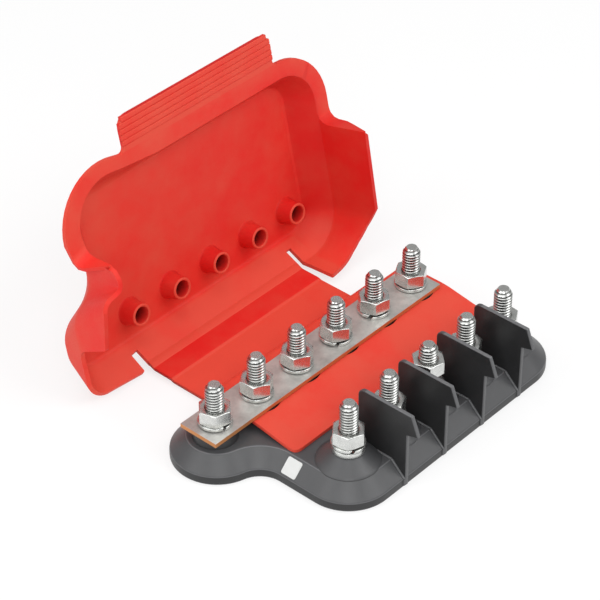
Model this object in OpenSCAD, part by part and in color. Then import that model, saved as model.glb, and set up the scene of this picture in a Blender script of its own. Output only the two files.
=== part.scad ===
// Multi-way fuse holder with a hinged soft cover, shown open.
// Frame: origin at the middle of the base underside, X along the bus bar,
// +Y towards the cover hinge, Z up. Sizes are in millimetres and degrees.

/* [Studs and fasteners] */
// distance between neighbouring studs along the bus bar
pitch = 25.2; // [22:0.1:32]
// distance from the bus row to the output row, the fuse hole spacing
fuse_span = 50.8; // [44:0.1:60]
// number of fuse ways
ways = 5; // [3:1:7]
// thread diameter of every stud
stud_d = 8; // [6:0.5:10]
// diameter of the plain shank below the free thread
shank_d = 7.4; // [5:0.1:9.6]
// height of the bus stud tips above the underside
bus_stud_top = 38.1; // [34:0.1:42]
// height of the output stud tips above the underside
out_stud_top = 40.9; // [36:0.1:44]
// chamfer at each stud tip
stud_chamfer = 1.2; // [0.4:0.1:1.6]
// hexagon across the flats, nuts and bolt heads
hex_flats = 13; // [11:0.1:14]
// height of a nut
nut_h = 6.5; // [5:0.1:8]
// height of a bolt head, sunk in the underside
head_h = 5.3; // [4:0.1:6]
// how far the bolt heads sit above the underside
head_recess = 1; // [0.5:0.1:2]
// outside diameter of the spring washers
washer_d = 14.8; // [12:0.1:16]
// thickness of the spring washers
washer_h = 2; // [1.4:0.1:2.4]
// width of the split in a spring washer
washer_split = 1.2; // [0.6:0.1:2]
// outside diameter of the collars on the output cones
collar_d = 13.2; // [12:0.1:14]
// thickness of the collars
collar_h = 2.5; // [1.5:0.1:3]
// which output nut is backed off, counted from the input end, or 0 for none
loose_way = 3; // [0:1:5]
// how far that nut is backed off
loose_lift = 6; // [0:0.5:7]
// radial clearance between a stud and what it passes through
stud_gap = 0.1; // [0.05:0.01:0.3]

/* [Bus bar] */
// width of the bus bar
bar_w = 20; // [16:0.5:22]
// thickness of the bus bar
bar_t = 2; // [1.5:0.1:4]
// bar length past the input stud
bar_end_in = 10.2; // [8:0.1:14]
// bar length past the last bus stud
bar_end_out = 8.6; // [8:0.1:14]
// height of the bar underside, the top of the bus bosses
bar_z = 15.8; // [14:0.1:18]

/* [Base] */
// radius of the base outline around the corner studs
outline_r = 20.4; // [18:0.1:24]
// height of the upright lip
lip_h = 4.2; // [3:0.1:6]
// inward run of the sloped band
slope_run = 7; // [5:0.1:9]
// height of the deck above the underside
deck_h = 11; // [9:0.1:12]
// middle of the input lobe from the input stud, towards the body
lobe_in = 1.4; // [0:0.1:2]
// concave radius where the input lobe joins the body
lobe_fillet = 12; // [8:0.5:16]
// radius of the bus bosses at the bar
boss_top_r = 8.2; // [7:0.1:9]
// radius of the bus bosses at the deck
boss_foot_r = 9.8; // [9:0.1:11]
// radius of the output cones at the collar
cone_top_r = 7; // [6.8:0.1:9]
// radius of the output cones at the deck
cone_foot_r = 13.2; // [11:0.1:13.4]
// height of the output cone tops
cone_z = 16.5; // [14:0.1:18]

/* [Dividers] */
// thickness of the dividers
divider_t = 1.8; // [1.2:0.1:3]
// height of the divider tops above the underside
divider_top = 38.4; // [34:0.1:42]
// top edge from the output row towards the bus row
divider_in = 5.2; // [3:0.1:9]
// corner cut at the inner top
divider_corner = 2; // [1:0.1:4]
// top edge from the output row outwards
divider_out = 23; // [20:0.1:26]
// reach of the nose past the top edge
nose_out = 3.7; // [2:0.1:6]
// height of the nose tip
nose_z = 29; // [26:0.1:32]
// height of the top of the upright outer edge
heel_z = 27.4; // [20:0.1:28.5]
// how far the outer edge stands proud of the lip
heel_proud = 0.6; // [0.2:0.1:2]
// thickness of the low rib beside each divider
rib_t = 0.8; // [0.5:0.1:1.5]
// how far the rib rises above the surface
rib_rise = 0.5; // [0.2:0.1:1]

/* [Cover] */
// wall thickness of the soft cover
cover_t = 2; // [1.4:0.1:2.6]
// angle the cover is open by
open_angle = 102; // [90:1:106]
// hinge line behind the bus row
hinge_back = 26; // [25:0.1:30]
// hinge line above the underside
hinge_z = 6.3; // [5.5:0.1:8]
// gap between the closed brim and the divider tops
brim_gap = 0.4; // [0.3:0.1:2]
// inside radius of the roof edge around the corner studs
roof_r = 10.2; // [9:0.1:12]
// outward run of the sloped band below the roof
band_run = 9; // [7:0.1:10]
// height of the sloped band below the roof
band_h = 12; // [10:0.1:14]
// width of the front brim
brim_w = 7.8; // [5:0.1:10]
// height of the side skirts below the roof
skirt_h = 37.8; // [30:0.1:38.5]
// outward lean of the side skirts
skirt_run = 2.4; // [1:0.1:4]
// height of the left skirt below the roof
skirt_left_h = 33.6; // [30:0.1:36]
// shallower left skirt at its front end, measured from the roof
skirt_front_h = 27; // [24:0.1:30]
// length of that shallower end
skirt_front_run = 9; // [4:0.5:14]
// shallower back skirt at the right corner, measured from the roof
skirt_back_h = 29; // [24:0.1:30]
// front end of the right skirt in front of the bus row
skirt_front = 38; // [34:0.5:46]
// front end of the left skirt in front of the bus row
skirt_front_left = 40.5; // [34:0.5:46]
// upright outer edge of the web that closes the brim at the right skirt
web_right_h = 11; // [2:0.5:16]
// upright outer edge of the web that closes the brim at the left skirt
web_left_h = 3; // [1:0.5:8]
// cable notch in the input skirt, measured from the roof
notch_h = 20; // [16:0.5:24]
// front edge of the cable notch in front of the bus row
notch_front = 10; // [6:0.5:16]
// how much wider the cover is at the input side
cover_left = 5.4; // [0:0.1:6]
// how much shorter the cover is at the output side
cover_front = 1.2; // [0:0.1:2]
// how much further the cover reaches behind the bus row
cover_back = 2; // [0:0.1:3]
// length of the bosses under the roof
peg_h = 8.2; // [6:0.1:9]
// diameter of the bosses at the roof
peg_foot_d = 11.8; // [11:0.1:15]
// diameter of the bosses at their tips
peg_tip_d = 10.2; // [9:0.1:11.5]
// bore of the bosses
peg_bore_d = 7.6; // [6:0.1:8]

/* [Grip tab] */
// width of the grip tab
tab_w = 92.6; // [60:0.2:94]
// length of the grip tab in front of the brim
tab_l = 15.6; // [14:0.1:22]
// tab middle from the middle of the output row, away from the input
tab_off = 1.5; // [0:0.1:3]
// radius of the tab corners
tab_corner = 4.5; // [3:0.5:8]
// number of grip ridges
ridges = 5; // [3:1:6]
// spacing of the grip ridges
ridge_pitch = 2.3; // [2:0.1:2.7]
// height of the grip ridges
ridge_rise = 0.7; // [0.3:0.1:1]

/* [Strap and tongue] */
// thickness of the strap and the tongue
sheet_t = 1.6; // [1.2:0.1:2]
// width of the strap
strap_w = 98.4; // [90:0.2:99]
// strap middle from the middle of the base, away from the input
strap_off = 6.2; // [4:0.1:8]
// width of the slits beside the strap
slit_w = 2; // [1:0.1:3]
// depth of the roof band left whole above the slits
slit_root = 4.5; // [3:0.1:6]
// distance from the ends of the tongue to the edge of the deck
tongue_edge = 1; // [0.4:0.1:4]
// gap between the front of the tongue and the output cones
tongue_front = 4.2; // [0.4:0.1:6]
// front part of the tongue that lies flat on the deck
tongue_flat = 3; // [1:0.5:8]
// radial clearance round the bus bosses in the tongue
tongue_gap = 1.2; // [0.2:0.1:1.6]
// gap between the tongue and the bar above it
tongue_drop = 0.2; // [0.1:0.1:0.6]
// height of the strap above the surface the base stands on
strap_lift = 0.3; // [0.2:0.1:1]
// ridge where the tongue bends down, behind the bus row
strap_ridge = 15.6; // [14:0.1:18]
// run of the sheet from that ridge down to the surface
strap_fall = 10.4; // [9:0.1:14]
// distance from the flat run of the strap to the cover
strap_up = 15; // [10:0.1:18]
// distance from the knee of the strap to the cover
strap_knee = 8.2; // [4:0.1:9]
// height of the knee above the flat run
strap_knee_rise = 1.4; // [0.4:0.05:1.6]
// gap at the strap end on the cover
strap_gap = 0.3; // [0.2:0.05:0.6]

/* [Label] */
// width and height of the blank label
label_w = 7.6; // [5:0.1:9]
// thickness of the label
label_t = 0.2; // [0.1:0.05:0.4]
// clearance between the label and the base
label_gap = 0.02; // [0.01:0.01:0.05]

/* [Hidden] */
$fn = 64;
eps = 0.01;
// the concave corner sits this much inside its neighbours, which run on into it
seam = 0.01;
seam_turn = 3;
seam_run = 1;
// swept sections start at ring_r, and the flat areas they frame reach out to core_r
ring_r = 3;
core_r = 5;
far = 400;

// rows of studs: bus stud 0 is the input
bus_y = fuse_span / 2;
out_y = -fuse_span / 2;
function stud_x(i) = (i - ways / 2) * pitch;
x_in = stud_x(0);
x_first = stud_x(1);
x_last = stud_x(ways);
stud_r = stud_d / 2;
shank_r = min(shank_d / 2, stud_r);
bore_r = stud_r + stud_gap;
nut_bore_r = shank_r + stud_gap;
// heights of the stacks
bar_top = bar_z + bar_t;
collar_top = cone_z + collar_h;
rim_r = outline_r - slope_run;
slope_rise = deck_h - lip_h;
slope_len = norm([slope_run, slope_rise]);
// centre distance of the lobe and its concave corner
lobe_reach = outline_r + lobe_fillet;
// cover in its closed place
roof_z = divider_top + brim_gap + band_h;
brim_z = roof_z - band_h;
band_r = roof_r + band_run;
band_len = norm([band_run, band_h]);
band_t = cover_t * band_len / band_h;
brim_r = band_r + brim_w;
roof_out = cover_t * (band_len - band_run) / band_h;
skirt_drop = skirt_h - band_h;
skirt_r = band_r + skirt_run;
hinge_y = bus_y + hinge_back;
cover_xl = x_first - cover_left;
cover_yf = out_y + cover_front;
cover_yb = bus_y + cover_back;
skirt_y = bus_y - skirt_front;
skirt_left_y = bus_y - skirt_front_left;
x_lobe = x_in + lobe_in;
strap_x0 = strap_off - strap_w / 2;
strap_x1 = strap_x0 + strap_w;
// the sheet from the ridge behind the bar down to the surface: the tongue ends on the way
sheet_z = bar_z - tongue_drop - sheet_t;
ridge_y = bus_y + strap_ridge;
floor_y = ridge_y + strap_fall;
fall_rise = sheet_z - strap_lift;
fall_len = norm([strap_fall, fall_rise]);
fall_mitre = sheet_t * (fall_len - strap_fall) / fall_rise;
fall_out = [sheet_t * fall_rise / fall_len, sheet_t * strap_fall / fall_len];
strap_end = [ridge_y + strap_fall * (sheet_z - lip_h) / fall_rise, lip_h];
// turns of the nuts and of the splits in the washers, seen from above
bus_nut_turns = [45, 32, 31, 30, 48, 29];
out_nut_turns = [39, 23, 47, 26, 31];
bus_splits = [252, 60, 30, 222, 203, 45];
out_splits = [231, 80, 120, 50, 20];

// a point of the closed cover, turned to the open place
function opened(p) = let (a = -open_angle, dy = p[0] - hinge_y, dz = p[1] - hinge_z)
  [hinge_y + dy * cos(a) - dz * sin(a), hinge_z + dy * sin(a) + dz * cos(a)];

// a section in Y and Z, drawn as a flat outline and drawn out along X
module along_x(x0, x1) {
  translate([x0, 0, 0]) rotate([90, 0, 90]) linear_extrude(x1 - x0) children();
}

// a section swept round the outline: its first axis points outwards from the line through the
// corner studs, and the input lobe joins the body by a concave corner
module around(xl, xr, yf, yb, lx) {
  cx = xl - lobe_reach;
  cy = yb - sqrt(lobe_reach * lobe_reach - (lx - cx) * (lx - cx));
  turn = atan2(yb - cy, lx - cx);
  translate([xl, yf, 0]) rotate([0, 0, 180]) rotate_extrude(angle = 90) children();
  translate([xl, yf, 0]) mirror([0, 1, 0]) along_x(0, xr - xl) children();
  translate([xr, yf, 0]) rotate([0, 0, 270]) rotate_extrude(angle = 90) children();
  translate([xr, yb, 0]) rotate([90, 0, 0]) linear_extrude(yb - yf) children();
  translate([xr, yb, 0]) rotate_extrude(angle = 90) children();
  translate([lx, yb, 0]) along_x(0, xr - lx) children();
  translate([lx, yb, 0]) rotate([0, 0, 90]) rotate_extrude(angle = 90 + turn + seam_turn) children();
  translate([cx, cy, 0]) rotate_extrude(angle = turn) translate([lobe_reach + seam, 0])
    mirror([1, 0]) children();
  translate([xl, cy + seam_run, 0]) mirror([1, 0, 0]) rotate([90, 0, 0])
    linear_extrude(cy + seam_run - yf) children();
}

// the flat area inside that line and a little past it, into the swept section
module inside(xl, xr, yf, yb, lx) {
  cx = xl - lobe_reach;
  cy = yb - sqrt(lobe_reach * lobe_reach - (lx - cx) * (lx - cx));
  polygon([[xl, yf], [xr, yf], [xr, yb], [lx, yb], [xl, cy]]);
  for (p = [[xl, yf], [xr, yf], [xr, yb], [lx, yb], [xl, cy]]) translate(p) circle(r = core_r);
  translate([xl - core_r, yf]) square([core_r, cy - yf]);
  translate([xl, yf - core_r]) square([xr - xl, core_r]);
  translate([xr, yf]) square([core_r, yb - yf]);
  translate([lx, yb]) square([xr - lx, core_r]);
}

module hexagon(flats) {
  circle(r = flats / 2 / cos(30), $fn = 6);
}

// the moulded base with its bosses, cones and dividers
module base() {
  color([0.2, 0.2, 0.21]) difference() {
    union() {
      around(x_first, x_last, out_y, bus_y, x_lobe)
        polygon([[ring_r, 0], [outline_r, 0], [outline_r, lip_h], [rim_r, deck_h], [ring_r, deck_h]]);
      linear_extrude(deck_h) inside(x_first, x_last, out_y, bus_y, x_lobe);
      for (i = [0 : ways])
        translate([stud_x(i), bus_y, deck_h - eps])
          cylinder(h = bar_z - deck_h + eps, r1 = boss_foot_r, r2 = boss_top_r);
      for (i = [1 : ways])
        translate([stud_x(i), out_y, deck_h - eps])
          cylinder(h = cone_z - deck_h + eps, r1 = cone_foot_r, r2 = cone_top_r);
      for (i = [1 : ways - 1]) divider(stud_x(i + 0.5));
    }
    for (i = [0 : ways]) translate([stud_x(i), bus_y, 0]) bolt_hole();
    for (i = [1 : ways]) translate([stud_x(i), out_y, 0]) bolt_hole();
  }
}

module bolt_hole() {
  translate([0, 0, -far / 2]) cylinder(h = far, r = bore_r);
  translate([0, 0, -far / 2]) linear_extrude(far / 2 + head_recess + head_h)
    hexagon(hex_flats + 2 * stud_gap);
}

// one divider plate and the low rib on its input side
module divider(x) {
  outer = out_y - outline_r - heel_proud;
  inner = out_y + divider_in;
  top = out_y - divider_out;
  along_x(x - divider_t / 2, x + divider_t / 2) polygon([[inner, 0], [inner, divider_top - divider_corner],
    [inner - divider_corner, divider_top], [top, divider_top], [top - nose_out, nose_z],
    [outer, heel_z], [outer, 0]]);
  along_x(x - divider_t / 2 - rib_t, x) polygon([[inner, 0], [inner, deck_h + rib_rise],
    [out_y - rim_r - rib_rise / 2, deck_h + rib_rise], [out_y - outline_r - rib_rise, lip_h + rib_rise / 2],
    [out_y - outline_r - rib_rise, 0]]);
}

module busbar() {
  color([0.72, 0.7, 0.66]) difference() {
    translate([x_in - bar_end_in, bus_y - bar_w / 2, bar_z])
      cube([x_last - x_in + bar_end_in + bar_end_out, bar_w, bar_t]);
    for (i = [0 : ways]) translate([stud_x(i), bus_y, 0]) cylinder(h = far, r = bore_r);
  }
}

// a bolt put in from below, its hexagon head held in the base and its thread free above the nut
module bolt(x, y, free_z, top) {
  color([0.75, 0.76, 0.76]) translate([x, y, 0]) {
    translate([0, 0, head_recess]) linear_extrude(head_h) hexagon(hex_flats);
    translate([0, 0, head_recess + head_h - eps])
      cylinder(h = free_z - head_recess - head_h + 2 * eps, r = shank_r);
    translate([0, 0, free_z]) cylinder(h = top - stud_chamfer - free_z, r = stud_r);
    translate([0, 0, top - stud_chamfer - eps])
      cylinder(h = stud_chamfer + eps, r1 = stud_r, r2 = stud_r - stud_chamfer);
  }
}

module nut(x, y, z, turn) {
  corner_r = hex_flats / 2 / cos(30);
  bevel = (corner_r - hex_flats / 2) * tan(30);
  color([0.78, 0.79, 0.78]) translate([x, y, z]) difference() {
    intersection() {
      rotate([0, 0, turn]) linear_extrude(nut_h) hexagon(hex_flats);
      rotate_extrude() polygon([[0, 0], [hex_flats / 2, 0], [corner_r + eps, bevel],
        [corner_r + eps, nut_h - bevel], [hex_flats / 2, nut_h], [0, nut_h]]);
    }
    translate([0, 0, -far / 2]) cylinder(h = far, r = nut_bore_r);
  }
}

// a split spring washer
module spring_washer(x, y, z, turn) {
  color([0.7, 0.71, 0.7]) translate([x, y, z]) difference() {
    cylinder(h = washer_h, r = washer_d / 2);
    translate([0, 0, -far / 2]) cylinder(h = far, r = bore_r);
    rotate([0, 0, turn]) translate([0, -washer_split / 2, -far / 2])
      cube([washer_d, washer_split, far]);
  }
}

module collar(x, y) {
  color([0.82, 0.82, 0.8]) translate([x, y, cone_z]) difference() {
    cylinder(h = collar_h, r = collar_d / 2);
    translate([0, 0, -far / 2]) cylinder(h = far, r = bore_r);
  }
}

function pick(list, i) = list[i % len(list)];
function lift(i) = i == loose_way ? loose_lift : 0;

module bus_bolt(i) { bolt(stud_x(i), bus_y, bar_top + washer_h + nut_h, bus_stud_top); }
module bus_washer(i) { spring_washer(stud_x(i), bus_y, bar_top, pick(bus_splits, i)); }
module bus_nut(i) { nut(stud_x(i), bus_y, bar_top + washer_h, pick(bus_nut_turns, i)); }
module out_bolt(i) {
  bolt(stud_x(i), out_y, collar_top + washer_h + nut_h + lift(i), out_stud_top);
}
module out_collar(i) { collar(stud_x(i), out_y); }
module out_washer(i) { spring_washer(stud_x(i), out_y, collar_top, pick(out_splits, i - 1)); }
module out_nut(i) {
  nut(stud_x(i), out_y, collar_top + washer_h + lift(i), pick(out_nut_turns, i - 1));
}

// the end of the red moulding: it lies on the deck, rises under the bar and bends down behind it
module tongue() {
  front_y = out_y + cone_foot_r + tongue_front;
  flat_y = front_y + tongue_flat;
  bar_front = bus_y - bar_w / 2;
  color([0.85, 0.13, 0.12]) difference() {
    union() {
      along_x(x_first - rim_r + tongue_edge, x_last + rim_r - tongue_edge)
        polygon([[front_y, deck_h], [flat_y, deck_h], [bar_front, sheet_z], [bus_y + rim_r, sheet_z],
          [bus_y + rim_r, sheet_z + sheet_t], [bar_front, sheet_z + sheet_t],
          [flat_y, deck_h + sheet_t], [front_y, deck_h + sheet_t]]);
      along_x(strap_x0, strap_x1) polygon([[bus_y, sheet_z], [ridge_y, sheet_z], strap_end,
        strap_end + fall_out, [ridge_y + fall_mitre, sheet_z + sheet_t], [bus_y, sheet_z + sheet_t]]);
    }
    for (i = [1 : ways])
      translate([stud_x(i), bus_y, 0]) cylinder(h = far, r = boss_foot_r + tongue_gap);
  }
}

// the strap that bends when the cover turns, lying on the surface while the cover is open
module hinge_strap() {
  low = strap_lift + sheet_t;
  end_in = opened([cover_yb + band_r, brim_z - strap_gap]);
  end_out = opened([cover_yb + band_r + sheet_t, brim_z - strap_gap]);
  bend_y = end_in[0] - strap_up;
  knee_y = end_in[0] - strap_knee;
  color([0.85, 0.13, 0.12]) along_x(strap_x0, strap_x1) polygon([strap_end, [floor_y, strap_lift],
    [bend_y, strap_lift], [knee_y, strap_lift + strap_knee_rise], end_out, end_in,
    [knee_y, low + strap_knee_rise], [bend_y, low], [floor_y + fall_mitre, low], strap_end + fall_out]);
}

// the soft cover, modelled closed and then turned open about the hinge line
module cover() {
  color([0.87, 0.16, 0.14]) translate([0, hinge_y, hinge_z]) rotate([-open_angle, 0, 0])
    translate([0, -hinge_y, -hinge_z]) closed_cover();
}

module cover_ring() {
  around(cover_xl, x_last, cover_yf, cover_yb, x_in) children();
}

module closed_cover() {
  difference() {
    union() {
      cover_ring() polygon([[ring_r, roof_z], [roof_r, roof_z], [band_r, brim_z], [band_r + band_t, brim_z],
        [roof_r + roof_out, roof_z + cover_t], [ring_r, roof_z + cover_t]]);
      translate([0, 0, roof_z]) linear_extrude(cover_t)
        inside(cover_xl, x_last, cover_yf, cover_yb, x_in);
      brim();
      web(x_last, 1, skirt_y, skirt_drop, web_right_h);
      web(cover_xl, -1, skirt_left_y, skirt_front_h - band_h, web_left_h);
      skirts();
      grip_tab();
      for (i = [1 : ways]) translate([stud_x(i), bus_y, roof_z - peg_h])
        cylinder(h = peg_h + eps, r1 = peg_tip_d / 2, r2 = peg_foot_d / 2);
    }
    for (i = [1 : ways]) translate([stud_x(i), bus_y, roof_z - peg_h - eps])
      cylinder(h = peg_h + 2 * eps, r = peg_bore_d / 2);
    for (x = [strap_x0 - slit_w, strap_x1])
      translate([x, cover_yb + roof_r, roof_z - far]) cube([slit_w, far, far - slit_root]);
  }
}

// the outward brim along the front and the front half of both sides
module brim() {
  intersection() {
    cover_ring() polygon([[band_r, brim_z], [brim_r, brim_z], [brim_r, brim_z + cover_t],
      [band_r + band_t - cover_t * band_run / band_h, brim_z + cover_t]]);
    union() {
      translate([-far, skirt_left_y - far, 0]) cube([far, far, far]);
      translate([-eps, skirt_y - far, 0]) cube([far, far, far]);
    }
  }
}

// the plate that closes the end of the brim, down the front edge of a skirt; side is 1 or -1
module web(x, side, y, drop, upright) {
  lean = skirt_run * drop / skirt_drop;
  translate([x, y + eps, brim_z]) rotate([90, 0, 0]) scale([side, 1, 1]) linear_extrude(cover_t + eps)
    polygon([[band_r, 0], [brim_r, 0], [brim_r, -upright], [band_r + lean + cover_t, -drop],
      [band_r + lean, -drop]]);
}

// the deeper side walls, each cut to its own free edge
module skirts() {
  difference() {
    intersection() {
      cover_ring() polygon([[band_r, brim_z], [skirt_r, brim_z - skirt_drop],
        [skirt_r + cover_t, brim_z - skirt_drop], [band_r + cover_t, brim_z],
        [band_r + band_t - cover_t * band_run / band_h, brim_z + cover_t],
        [band_r - cover_t * band_run / band_h, brim_z + cover_t]]);
      union() {
        translate([-far, skirt_left_y, 0]) cube([far, far, far]);
        translate([-eps, skirt_y, 0]) cube([far, far, far]);
      }
    }
    along_x(-far, cover_xl) polygon([[skirt_left_y - eps, 0], [skirt_left_y - eps, roof_z - skirt_front_h],
      [skirt_left_y + skirt_front_run, roof_z - skirt_left_h], [bus_y - notch_front, roof_z - skirt_left_h],
      [bus_y - notch_front, roof_z - notch_h],
      [bus_y, roof_z - notch_h], [cover_yb + roof_r, brim_z], [far, brim_z], [far, 0]]);
    along_x(x_last - pitch, far) polygon([[bus_y, 0], [bus_y, roof_z - skirt_h],
      [cover_yb + roof_r, roof_z - skirt_back_h], [far, roof_z - skirt_back_h], [far, 0]]);
    translate([cover_xl - eps, bus_y, 0]) cube([strap_x1 + slit_w / 2 - cover_xl, far, brim_z]);
  }
}

// the ridged grip in front of the brim
module grip_tab() {
  edge = cover_yf - brim_r;
  tip = edge - tab_l;
  x0 = (x_first + x_last - tab_w) / 2 + tab_off;
  x1 = x0 + tab_w;
  ridge_0 = tip + ridges * ridge_pitch;
  intersection() {
    translate([0, 0, roof_z - far / 2]) linear_extrude(far) {
      translate([x0, tip + tab_corner]) square([tab_w, tab_l - tab_corner + eps]);
      translate([x0 + tab_corner, tip]) square([tab_w - 2 * tab_corner, tab_l]);
      for (x = [x0 + tab_corner, x1 - tab_corner]) translate([x, tip + tab_corner]) circle(r = tab_corner);
    }
    along_x(x0, x1) polygon(concat([[edge + eps, brim_z + cover_t], [tip, brim_z + cover_t], [tip, brim_z]],
      [for (i = [ridges : -1 : 1]) each [[ridge_0 - i * ridge_pitch, brim_z],
        [ridge_0 - (i - 0.5) * ridge_pitch, brim_z - ridge_rise]]],
      [[ridge_0, brim_z], [edge + eps, brim_z]]));
  }
}

// the bare label on the slope at the input side
module label() {
  cy = bus_y - sqrt(lobe_reach * lobe_reach - pow(x_lobe - x_first + lobe_reach, 2));
  color([0.95, 0.95, 0.94])
    translate([x_first - outline_r + slope_run / 2, cy - label_w, (lip_h + deck_h) / 2])
      rotate([0, -atan2(slope_rise, slope_run), 0])
        translate([-label_w / 2, 0, label_gap]) cube([label_w, label_w, label_t]);
}

base();
busbar();
tongue();
hinge_strap();
cover();
label();
for (i = [0 : ways]) {
  bus_bolt(i);
  bus_washer(i);
  bus_nut(i);
}
for (i = [1 : ways]) {
  out_bolt(i);
  out_collar(i);
  out_washer(i);
  out_nut(i);
}
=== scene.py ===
"""Looks of a multi-way fuse holder with a hinged soft cover, shown open.

Shapes are drawn in millimetres in the frame of the CAD model and scaled to metres at the end:
X runs along the bus bar away from the input, +Y points to the cover hinge and Z points up.
"""

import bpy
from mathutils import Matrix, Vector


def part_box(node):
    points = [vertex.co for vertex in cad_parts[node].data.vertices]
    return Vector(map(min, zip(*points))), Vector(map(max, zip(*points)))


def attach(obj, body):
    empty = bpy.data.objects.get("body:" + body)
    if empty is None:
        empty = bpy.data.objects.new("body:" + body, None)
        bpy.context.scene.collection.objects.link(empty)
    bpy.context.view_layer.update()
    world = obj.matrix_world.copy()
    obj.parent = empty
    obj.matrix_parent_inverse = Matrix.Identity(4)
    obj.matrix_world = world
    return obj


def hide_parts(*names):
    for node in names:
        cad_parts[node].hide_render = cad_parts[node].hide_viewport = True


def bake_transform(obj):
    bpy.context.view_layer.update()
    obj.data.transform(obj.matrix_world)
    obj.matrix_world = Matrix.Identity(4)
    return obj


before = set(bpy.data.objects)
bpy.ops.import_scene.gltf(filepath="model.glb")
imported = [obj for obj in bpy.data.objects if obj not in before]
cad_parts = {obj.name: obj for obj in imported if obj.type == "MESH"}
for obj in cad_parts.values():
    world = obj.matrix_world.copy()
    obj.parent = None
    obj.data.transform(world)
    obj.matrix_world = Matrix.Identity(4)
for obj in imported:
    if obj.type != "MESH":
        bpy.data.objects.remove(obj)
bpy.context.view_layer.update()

from collections import namedtuple
from math import atan2, ceil, cos, hypot, pi, radians, sin, sqrt, tan

import bmesh
import bpy
from bpy.props import FloatProperty, FloatVectorProperty, PointerProperty
from mathutils import Matrix, Vector

bl_info = {
    "name": "Fuse holder looks",
    "version": (1, 0, 0),
    "blender": (4, 5, 0),
    "location": "View3D > Sidebar > Fuse holder",
    "description": "Builds the visible pieces of a multi-way fuse holder on its CAD frame",
    "category": "Object",
}

MM = 0.001
UP = (0, 0, 1)

# Base, bus bar and label, in millimetres
PITCH = 25.2
WAYS = 5
BUS_Y = 25.4
OUT_Y = -25.4
FIRST_X = -37.8
LAST_X = 63
OUTLINE_R = 20.4
RIM_R = 13.4
LIP_H = 4.2
DECK_H = 11
LOBE_X = -61.6
LOBE_REACH = 32.4
BAR_Z = 15.8
BOSS_FOOT_R = 9.8
BOSS_TOP_R = 8.2
CONE_FOOT_R = 13.2
CONE_TOP_R = 7
CONE_Z = 16.5
COLLAR_R = 7.1
COLLAR_H = 2.5
LABEL_CORNER = 0.8
LABEL_ROUND = 0.06

# Dividers
DIVIDER_T = 1.8
DIVIDER_FOOT = 0.6
DIVIDER_TOP = 38.4
DIVIDER_IN = 5.2
DIVIDER_CORNER = 3.4
DIVIDER_OUT = 23
NOSE_OUT = 3.7
NOSE_Z = 29
HEEL_Z = 27.4
HEEL_PROUD = 0.6
RIB_T = 0.8
RIB_RISE = 0.5

# Fasteners
STUD_R = 4
SHANK_R = 3.7
STUD_TIP_R = 2.5
STUD_TAPER = 2.4
HEX_FLATS = 13
HEX_R = HEX_FLATS / 2 / cos(pi / 6)
NUT_H = 6.5
HEAD_H = 5.3
HEAD_LOW = 1
HEAD_ROUND = 0.4
POCKET_PLAY = 0.2
WASHER_R = 7.4
WASHER_H = 2
WASHER_BORE_R = 4.1
SPLIT_GAP = 1.3
SPLIT_SLANT = 1.0
SPLIT_STEP = 0.55
WASHER_RIM = 0.8
WASHER_STEPS = 56
BUS_NUT_TURNS = (45, 32, 31, 30, 48, 29)
OUT_NUT_TURNS = (39, 23, 47, 26, 31)
BUS_SPLITS = (252, 60, 30, 222, 203, 45)
OUT_SPLITS = (231, 80, 120, 50, 20)

# Chamfer of a nut: where it starts and where the flat face ends, as shares of half the width over flats,
# and its slope in degrees; then the mouth of the bore, how far it stands outside the stud and how deep
# it is, and how far the bore bites into the stud
CHAMFER_FROM = 0.985
FACE_END = 0.965
CHAMFER_SLOPE = 22
MOUTH_WIDE = 0.5
MOUTH_DEEP = 0.8
BORE_BITE = 0.3

# Thread: steps in a turn, the share of its depth that is lost at the tip of the stud, and the degrees
# below which its edges are smooth
THREAD_STEPS = 24
TIP_FADE = 0.75
SMOOTH_TURN = 20

# Cover in its closed place, and the turn that opens it
COVER_T = 2
COVER_LEFT = -43.2
COVER_FRONT = -24.2
COVER_BACK = 27.4
ROOF_Z = 50.8
BRIM_Z = 38.8
BRIM_R = 27
BEND_R = 5
SOFT_CORNER = 2
RIGHT_STEP = -12.6
LEFT_STEP = -18.8
LEFT_SKEW = 2.7
NOTCH_FRONT = (19.6, 15.8)
WEB_RIGHT_H = 11
WEB_LEFT_H = 3
WEB_END = 0.8
SLIT_Z = 45.8
SLIT_RIGHT = (54.2, 57.4)
SLIT_LEFT = (-46, -42.2)
PEG_H = 8.2
PEG_FOOT_R = 5.9
PEG_TIP_R = 5.1
PEG_BORE_R = 3.8
TAB_X = (-31, 60.4)
TAB_L = 15.6
TAB_CORNER = 5.2
TAB_FILLET = 2.4
RIDGES = 5
RIDGE_PITCH = 2.6
RIDGE_RISE = 0.3
RIDGE_SUNK = 1.6
RIDGE_ENDS = 0.4
RIDGE_ROUND = 0.1
HINGE = Vector((0, 51.4, 6.3))
OPEN = Matrix.Translation(HINGE) @ Matrix.Rotation(radians(-102), 4, "X") @ Matrix.Translation(-HINGE)

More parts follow.
